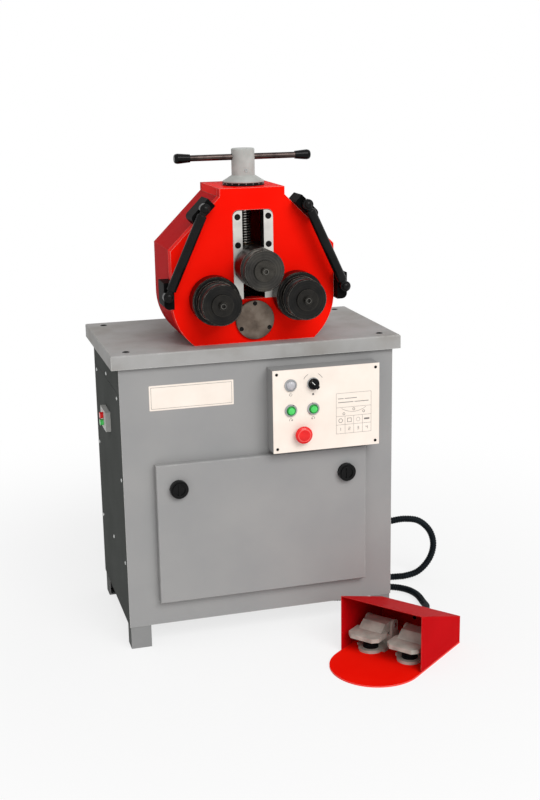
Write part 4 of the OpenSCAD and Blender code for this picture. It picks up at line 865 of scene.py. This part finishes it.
# Each screw of the back panel by its side, with 0 for the middle, and its height in millimetres
BACK_SCREWS = ((-1, 600), (0, 600), (1, 600), (-1, 400), (1, 400), (-1, 180), (0, 180), (1, 180))
BACK_IN = 16 * MM
back_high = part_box("back_panel")[1]
piece("back_screws", [dome_screw((s * (back_high[0] - BACK_IN), back_high[1], z * MM), Y, *PANEL_SCREW)
                      for s, z in BACK_SCREWS], ZINC)

# The reducer: its foot's height and how far in its bolts are; how far its flanges stand out in front, behind
# and on top; the rings of screws on its drum and its worm's housing, and that housing's place
FOOT_TALL, FOOT_BOLT_IN = 10 * MM, 9 * MM
FRONT_FLANGE, REAR_FLANGE, TOP_FLANGE = 4 * MM, 3 * MM, 5 * MM
DRUM_RING, WORM_RING, WORM_X = 38 * MM, 26 * MM, 46 * MM


def reducer_screws():
    """Cap screws on the reducer: four through its foot, and even rings of six on the end of its drum and of
    four on top of the worm's housing."""
    low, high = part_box("reducer")
    fore, aft = low[1] + FRONT_FLANGE, high[1] - REAR_FLANGE
    drum = np.array([0, aft, spin_axis("drive_spin")[2]])
    worm = np.array([WORM_X, (fore + aft) / 2, high[2] - TOP_FLANGE])
    screws = [socket_screw((x, y, low[2] + FOOT_TALL), Z, *FOOT_BOLT)
              for x in (low[0] + FOOT_BOLT_IN, high[0] - FOOT_BOLT_IN)
              for y in (fore + FOOT_BOLT_IN, aft - FOOT_BOLT_IN)]
    screws += screw_ring(drum, Y, Z, DRUM_RING, 30 + 60 * np.arange(6), DRUM_SCREW)
    screws += screw_ring(worm, Z, Y, WORM_RING, 45 + 90 * np.arange(4), CAP_SCREW)
    return piece("reducer_screws", screws, BLACK_OXIDE)


reducer_screws()

# Foot switch: bellows under the treads and the heads of the hinge pins

FOOT_AT = np.array([206, -427.5, 0]) * MM
FOOT_TURN = math.radians(-51)
FOOT_U = np.array([math.cos(FOOT_TURN), math.sin(FOOT_TURN), 0])
FOOT_V = np.array([-math.sin(FOOT_TURN), math.cos(FOOT_TURN), 0])
PEDAL_SIDE = 51 * MM
# The bellows: place back from the front, foot and top, radius, swing and fold
BELLOWS_BACK, BELLOWS_FOOT, BELLOWS_TOP = 44 * MM, 10 * MM, 29.5 * MM
BELLOWS_R, BELLOWS_SWING, BELLOWS_FOLD = 16 * MM, 2.2 * MM, 4.9 * MM
# The hinge pins: place back from the front, height, and the heads' distance from the tread's middle
PIN_BACK, PIN_UP, EAR_OUT = 92 * MM, 52 * MM, 37 * MM


def at_foot(u, v, z):
    """A point of the foot switch: u across its guard, v back from its open front, z up."""
    return FOOT_AT + u * FOOT_U + v * FOOT_V + z * Z


def bellows():
    """Rubber folds round each bumper: the radius swings once a fold as a cosine of the height."""
    heights = np.linspace(BELLOWS_FOOT, BELLOWS_TOP, 40)
    radius = BELLOWS_R + BELLOWS_SWING * np.cos(2 * math.pi * (heights - BELLOWS_FOOT) / BELLOWS_FOLD)
    profile = np.stack([radius, heights], -1)
    return piece("tread_bellows", [lathe(profile, at_foot(s * PEDAL_SIDE, BELLOWS_BACK, 0), Z, 40)
                                   for s in (-1, 1)], RUBBER, crease=60)


bellows()
piece("hinge_pin_heads",
      [dome_screw(at_foot(s * PEDAL_SIDE + e * EAR_OUT, PIN_BACK, PIN_UP), e * FOOT_U, *PIN_HEAD)
       for s in (-1, 1) for e in (-1, 1)], ZINC)

# Floor and light

FLOOR_HALF, FLOOR_DROP = 12.0, 0.2 * MM
# Where the paper starts and ends its fade to plain white, and the white's share at the start
FADE_NEAR, FADE_FAR, WHITE_SHARE = 0.5, 1.7, 0.75
# The world's strength where it lights a surface and isn't seen
FILL = 0.5


def seen(tree):
    """One for a ray of the camera, a reflection or glass, and nothing for the rest."""
    path = add(tree, "ShaderNodeLightPath")
    either = add(tree, "ShaderNodeMath", {"operation": "MAXIMUM"},
                 {0: path.outputs["Is Camera Ray"], 1: path.outputs["Is Glossy Ray"]})
    return add(tree, "ShaderNodeMath", {"operation": "MAXIMUM"},
               {0: either.outputs[0], 1: path.outputs["Is Transmission Ray"]}).outputs[0]


def floor():
    """A wide flat sheet under the feet: white paper that takes the shadow and runs out to plain white."""
    edge = np.array([[-1, -1, 0], [1, -1, 0], [1, 1, 0], [-1, 1, 0]]) * FLOOR_HALF - FLOOR_DROP * Z
    mesh = bpy.data.meshes.new("floor")
    mesh.from_pydata(edge.tolist(), [], [[0, 1, 2, 3]])
    material = bpy.data.materials.new("white_paper_floor")
    tree = blank(material)
    place = add(tree, "ShaderNodeTexCoord").outputs["Object"]
    away = add(tree, "ShaderNodeVectorMath", {"operation": "LENGTH"}, {0: place})
    far = add(tree, "ShaderNodeMapRange", {"interpolation_type": "SMOOTHSTEP"},
              {"Value": away.outputs["Value"], "From Min": FADE_NEAR, "From Max": FADE_FAR,
               "To Min": WHITE_SHARE, "To Max": 1.0})
    share = add(tree, "ShaderNodeMath", {"operation": "MULTIPLY"}, {0: far.outputs["Result"], 1: seen(tree)})
    paper = add(tree, "ShaderNodeBsdfDiffuse", None, {"Color": linear("#F6F6F6")})
    white = add(tree, "ShaderNodeEmission", None, {"Color": linear("#FFFFFF")})
    blend = add(tree, "ShaderNodeMixShader", None,
                {0: share.outputs[0], 1: paper.outputs["BSDF"], 2: white.outputs["Emission"]})
    add(tree, "ShaderNodeOutputMaterial", None, {"Surface": blend.outputs["Shader"]})
    mesh.materials.append(material)
    put("floor", mesh)


def lamp(name, kind, place, target, power, size):
    """A lamp that looks from a place at a point: a soft box sized in metres or a broad sun in degrees."""
    data = bpy.data.lights.new(name, kind)
    data.energy = power
    if kind == "SUN":
        data.angle = math.radians(size)
    else:
        data.size = size
    away = np.array(place) - np.array(target)
    away = away / np.linalg.norm(away)
    aim(name, data, *across(away), away, place)


def world():
    """White where the camera, a reflection or glass sees it, and a soft fill elsewhere."""
    sky = bpy.data.worlds.new("studio")
    tree = blank(sky)
    strength = add(tree, "ShaderNodeMapRange", None, {"Value": seen(tree), "To Min": FILL})
    glow = add(tree, "ShaderNodeBackground", None,
               {"Color": linear("#FFFFFF"), "Strength": strength.outputs["Result"]})
    add(tree, "ShaderNodeOutputWorld", None, {"Surface": glow.outputs["Background"]})
    bpy.context.scene.world = sky


floor()
world()
lamp("key", "SUN", (0.5, -2.8, 2.8), (0, 0, 0.6), 1.55, 36)
lamp("strip", "AREA", (1.5, -2.4, 2.4), (0, 0, 0.7), 12, 0.9)
bpy.context.scene.view_settings.view_transform = "Standard"
